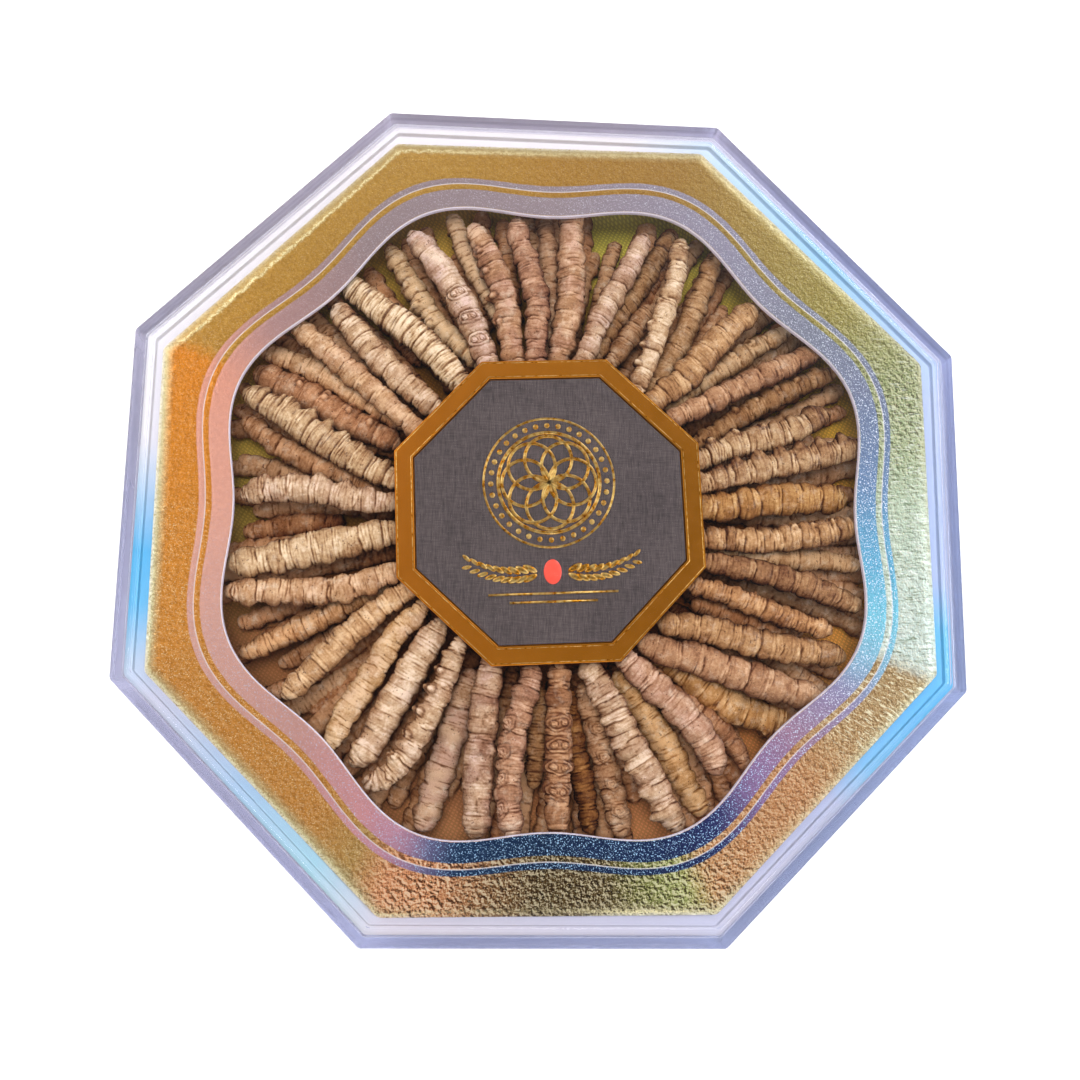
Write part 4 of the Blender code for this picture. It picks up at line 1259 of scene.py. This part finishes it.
class OBJECT_OT_ornament(bpy.types.Operator):
    """Models the gold rosette, rules and leaves on the label, and the plain coral accent"""
    bl_idname = "cordyceps.ornament"
    bl_label = "Label Ornament"

    def execute(self, context):
        level = PANEL_TOP + 0.02 * MM
        parts = []
        for petal in range(FLATS):
            parts.append(flat_ring(PETAL, 0.85 * MM, round_rosette(petal, FLATS, PETAL), level))
        for radius, width in ROSETTE_BORDERS:
            parts.append(flat_ring(radius, width, ROSETTE, level))
        for step in range(BEADS):
            parts.append(bead(BEAD, round_rosette(step, BEADS, BEAD_RING), level))
        for side in (-1, 1):
            for leaf in range(LEAF_PAIRS):
                share = leaf / (LEAF_PAIRS - 1)
                x = side * (4.6 + 15.0 * share) * MM
                y = (-15.4 + 3.0 * share ** 2 - 0.7 * sin(pi * share)) * MM
                size = (0.95 - 0.35 * share) * MM
                for tilt in (-1, 1):
                    turn = (0.45 * tilt + 0.3 * share) * side
                    root = (x + side * 0.8 * MM, y + tilt * 1.1 * MM)
                    parts.append(bead(size, root, level, LEAF_STRETCH, turn))
        for y, reach in RULES:
            bpy.ops.mesh.primitive_cylinder_add(vertices=12, radius=0.3 * MM, depth=2 * reach,
                                                location=(0, y, level), rotation=(0, pi / 2, 0))
            apply_place()
            parts.append(context.object)
        # Two thin bright wires along the border's outer and inner edges: painted highlights of those edges
        for flat in (LABEL_FLAT - 0.5 * MM, RECESS_FLAT + 0.55 * MM):
            bpy.ops.mesh.primitive_torus_add(
                major_radius=flat * CORNER, minor_radius=0.12 * MM, major_segments=FLATS, minor_segments=8,
                location=(0, 0, PLATE_TOP - 0.04 * MM), rotation=(0, 0, pi / FLATS))
            parts.append(context.object)
        bpy.ops.object.select_all(action="DESELECT")
        for part in parts:
            part.select_set(True)
        context.view_layer.objects.active = parts[0]
        bpy.ops.object.join()
        bpy.ops.object.shade_smooth()
        piece = context.object
        set_on_label(piece)
        add_piece("label_ornament", ornament_gold(), "label_gold")
        bpy.ops.mesh.primitive_uv_sphere_add(segments=48, ring_count=12, radius=ACCENT_RADIUS,
                                             location=(*ACCENT, level))
        accent = context.object
        accent.scale = (0.9, 1.25, 0.16)
        apply_place()
        bpy.ops.object.shade_smooth()
        set_on_label(accent)
        add_piece("label_accent", coral_lacquer(), "")
        return {"FINISHED"}


class OBJECT_OT_cushion(bpy.types.Operator):
    """Models the satin cushion: soft floor and rim, and the hub under the label"""
    bl_idname = "cordyceps.cushion"
    bl_label = "Satin Cushion"

    def execute(self, context):
        floor = 7.8 * MM
        hub = 30 * MM
        profile = np.array((
            (0, CUSHION_TOP),
            (hub - 3 * MM, CUSHION_TOP),
            (hub, CUSHION_TOP - 1.5 * MM),
            (hub + 0.6 * MM, floor + 1 * MM),
            (hub + 4 * MM, floor),
            (CUSHION_FLAT - 9 * MM, floor),
            (CUSHION_FLAT - 6 * MM, floor + 2 * MM),
            (CUSHION_FLAT - 2.7 * MM, 18 * MM),
            (CUSHION_FLAT - 1 * MM, 22 * MM),
            (CUSHION_FLAT, 21 * MM),
            (CUSHION_FLAT, CUSHION_UNDERSIDE),
            (0, CUSHION_UNDERSIDE),
        ))
        around, across = 240, 110
        lengths = run_along(profile)
        bpy.ops.mesh.primitive_grid_add(x_subdivisions=around, y_subdivisions=across, size=2)
        piece = context.object
        points = get_points(piece.data)
        azimuth = (points[:, 0] + 1) * pi
        run = (points[:, 1] + 1) / 2 * lengths[-1]
        flat = np.interp(run, lengths, profile[:, 0])
        height = np.interp(run, lengths, profile[:, 1])
        distance = octagon_reach(azimuth, 1.0) * flat
        spot = np.stack([distance * np.cos(azimuth), distance * np.sin(azimuth), height], axis=1)
        soft = 0.18 * lumps(spot / MM, 9, 31) + 0.08 * lumps(spot / MM, 3, 32)
        free = np.clip((height - 3 * MM) / (2 * MM), 0, 1)
        spot[:, 2] += (soft - 0.2) * MM * free
        set_points(piece.data, spot)
        close_grid()
        bpy.ops.object.shade_smooth()
        piece = add_piece("satin_cushion", satin(), "satin", "cushion")
        return {"FINISHED"}


def seen_at(azimuth, distance, height):
    """Point at that height behind a point read on the reading level."""
    read = Vector((distance * MM * cos(azimuth), distance * MM * sin(azimuth), READING_HEIGHT))
    return EYE + (read - EYE) * ((EYE.z - height) / (EYE.z - READING_HEIGHT))


class OBJECT_OT_lowest_bodies(bpy.types.Operator):
    """Models the lowest bodies, which show dark in the gaps, as four joined quarters"""
    bl_idname = "cordyceps.lowest_bodies"
    bl_label = "Lowest Bodies"

    def execute(self, context):
        def nearest(azimuth, others):
            return min(abs((azimuth - other + 180) % 360 - 180) for other in others)

        rng = np.random.default_rng(7)
        tips = list(LOWEST_SEEN)
        for azimuth in np.arange(3, 363, 3.7):
            gap = nearest(azimuth, FABRIC_GAPS)
            if nearest(azimuth, (seen for seen, _ in LOWEST_SEEN)) > 2.2:
                far = rng.uniform(82, 84) if 185 < azimuth < 265 else rng.uniform(79, 82)
                tips.append((azimuth, rng.uniform(68, 73) if gap < 3.5 else far))
        blank = blank_body(14, 90)
        quarters = [[] for _ in range(4)]
        finish = dried_body("cordyceps_brown")
        for number, (azimuth, distance) in enumerate(sorted(tips)):
            radius = LOWEST_BROAD.get(azimuth, rng.uniform(*LOWEST_RADIUS)) * MM
            bend = rng.uniform(-2.5, 2.5)
            centres = []
            for station in np.linspace(distance, LOWEST_INNER + 12 * (number % 2), 9):
                lean = azimuth + bend * sin(pi * (distance - station) / (distance - LOWEST_INNER))
                centres.append(seen_at(radians(lean), station, LOWEST_FOOT + radius))
            radii = radius * np.interp(np.linspace(0, 1, 9), (0, 0.12, 0.4, 1), (0.6, 0.85, 1, 0.8))
            made = copy_of(blank, f"lowest_{number}")
            # Painted shade: each lowest body is darker towards its inner end, by 0.9
            tone = rng.uniform(-0.1, 0.35)
            look = Look(tone, tone, tone + 0.9, rng.uniform(-1, 0), rng.uniform(3.4, 5.4), 1.0)
            shape_body(made.data, 200 + number, look, np.array(centres), radii, GIRTH["middle"])
            made.select_set(False)
            quarters[int(azimuth % 360 // 90)].append(made)
        bpy.data.objects.remove(blank)
        for index, group in enumerate(quarters):
            for made in group:
                made.select_set(True)
            context.view_layer.objects.active = group[0]
            bpy.ops.object.join()
            add_piece(f"lowest_bodies_{index + 1}", finish, "cordyceps_brown", "lower_cordyceps")
        return {"FINISHED"}


class OBJECT_OT_bodies(bpy.types.Operator):
    """Models the single dried bodies of the top and middle layers"""
    bl_idname = "cordyceps.bodies"
    bl_label = "Dried Bodies"

    def execute(self, context):
        look = context.scene.boxed_cordyceps
        slots = {part["node"]: part["material_slot"] for part in frame["record"]["subparts"]}
        blanks = {"fine": blank_body(48, look.ring_count + 20), "top": blank_body(32, look.ring_count),
                  "middle": blank_body(24, int(look.ring_count * 0.75))}
        for number, body in LOOKS.items():
            node = f"cordyceps_{number:02d}"
            centres, radii = rings_of(node)
            layer = "top" if len(centres) > 12 else "middle"
            if number in FINELY_MODELLED:
                layer = "fine"
            made = copy_of(blanks[layer], f"body_{number:02d}")
            girth_over = GIRTH["middle" if layer == "middle" else "top"]
            shape_body(made.data, number, body, centres, radii, girth_over)
            add_piece(f"body_{number:02d}", dried_body(slots[node]), slots[node], node)
        for blank in blanks.values():
            bpy.data.objects.remove(blank)
        return {"FINISHED"}


class OBJECT_OT_stage(bpy.types.Operator):
    """Adds the pale floor, the soft lights and the camera at the photograph's place"""
    bl_idname = "cordyceps.stage"
    bl_label = "Stage"

    def execute(self, context):
        scene = context.scene
        look = scene.boxed_cordyceps
        bpy.ops.mesh.primitive_plane_add(size=6)
        floor = context.object
        floor.name = "floor"
        material, wire = new_finish("floor")
        shade = wire.mix(wire.noise(wire.place(), 3, 2), (*look.floor_colour, 1), (0.95, 0.95, 0.95, 1))
        surface(wire, {"Base Color": shade, "Roughness": 0.8})
        floor.data.materials.append(material)
        world = bpy.data.worlds.new("studio")
        scene.world = world
        world.use_nodes = True
        world.node_tree.nodes.clear()
        wire = Wire(world.node_tree)
        upwards = wire.node("TexCoord", output="Generated").parts("XYZ")[2]
        sky = wire.ramp(upwards, grades(
            (0.0, 1, 1, 1), (0.5, 1, 1, 1), (0.75, 1.1, 1.1, 1.12), (0.88, 0.9, 0.9, 0.93),
            (0.93, 0.3, 0.3, 0.3), (1, 0.16, 0.16, 0.16)))
        light = wire.node("Background", {}, {"Color": sky, "Strength": look.world_strength})
        wire.node("OutputWorld", {}, {"Surface": light})
        for name, place, size, power, tint in (
            ("key_softbox", (-0.50, 0.30, 0.45), 0.40, look.key_power, (1.0, 0.97, 0.93)),
            ("right_softbox", (0.62, -0.05, 0.34), 0.30, look.key_power * 0.8, (0.92, 0.96, 1.0)),
            ("low_softbox", (0.10, -0.66, 0.36), 0.25, look.key_power * 0.4, (1.0, 0.95, 0.90)),
            ("back_softbox", (0.42, 0.50, 0.28), 0.30, look.key_power * 0.8, (0.94, 0.94, 1.0)),
            ("overhead_softbox", (-0.05, 0.03, 0.75), 0.30, look.overhead_power, (1.0, 0.97, 0.94)),
        ):
            bpy.ops.object.light_add(type="AREA", location=place)
            lamp = context.object
            lamp.name = name
            lamp.visible_glossy = lamp.visible_transmission = name != "overhead_softbox"
            lamp.data.shape = "DISK"
            lamp.data.size = size
            lamp.data.energy = power
            lamp.data.color = tint
            lamp.rotation_euler = (Vector((0, 0, 0.02)) - Vector(place)).to_track_quat("-Z", "Y").to_euler()
        aside = sin(VIEW_TILT)
        back = Vector((aside * cos(VIEW_AZIMUTH), aside * sin(VIEW_AZIMUTH), cos(VIEW_TILT)))
        right = Vector((0, 1, 0)).cross(back).normalized()
        up = back.cross(right)
        rolled = cos(VIEW_ROLL) * right + sin(VIEW_ROLL) * up, cos(VIEW_ROLL) * up - sin(VIEW_ROLL) * right
        placed = Matrix((*rolled, back)).transposed().to_4x4()
        placed.translation = back * VIEW_DISTANCE + Vector((0, 0, VIEW_TARGET))
        bpy.ops.object.camera_add()
        camera = context.object
        camera.name = "photograph_view"
        camera.matrix_world = placed
        camera.data.sensor_width = SENSOR
        camera.data.lens = FOCAL_PIXELS * SENSOR / IMAGE_SIZE
        camera.data.shift_x = (IMAGE_SIZE / 2 - VIEW_CENTRE[0]) / IMAGE_SIZE
        camera.data.shift_y = (VIEW_CENTRE[1] - IMAGE_SIZE / 2) / IMAGE_SIZE
        camera.data.clip_start = 0.01
        scene.camera = camera
        scene.view_settings.view_transform = "Standard"
        scene.view_settings.look = "Medium High Contrast"
        return {"FINISHED"}


class VIEW3D_PT_boxed_cordyceps(bpy.types.Panel):
    """Lists the operators and the settings"""
    bl_label = "Boxed Cordyceps"
    bl_idname = "VIEW3D_PT_boxed_cordyceps"
    bl_space_type = "VIEW_3D"
    bl_region_type = "UI"
    bl_category = "Cordyceps"

    def draw(self, context):
        look = context.scene.boxed_cordyceps
        for name in look.bl_rna.properties.keys():
            if name not in ("rna_type", "name"):
                self.layout.prop(look, name)
        for operator in OPERATORS:
            self.layout.operator(operator.bl_idname)


OPERATORS = (
    OBJECT_OT_stage,
    OBJECT_OT_clear_tray,
    OBJECT_OT_cushion,
    OBJECT_OT_lowest_bodies,
    OBJECT_OT_bodies,
    OBJECT_OT_label,
    OBJECT_OT_ornament,
    OBJECT_OT_gold_mat,
    OBJECT_OT_clear_lid,
)
CLASSES = (BoxedCordycepsSettings, *OPERATORS, VIEW3D_PT_boxed_cordyceps)


def register():
    for made in CLASSES:
        bpy.utils.register_class(made)
    bpy.types.Scene.boxed_cordyceps = PointerProperty(type=BoxedCordycepsSettings)


def unregister():
    del bpy.types.Scene.boxed_cordyceps
    for made in reversed(CLASSES):
        bpy.utils.unregister_class(made)


def main():
    register()
    for operator in OPERATORS:
        group, name = operator.bl_idname.split(".")
        getattr(getattr(bpy.ops, group), name)()


if __name__ == "__main__":
    main()
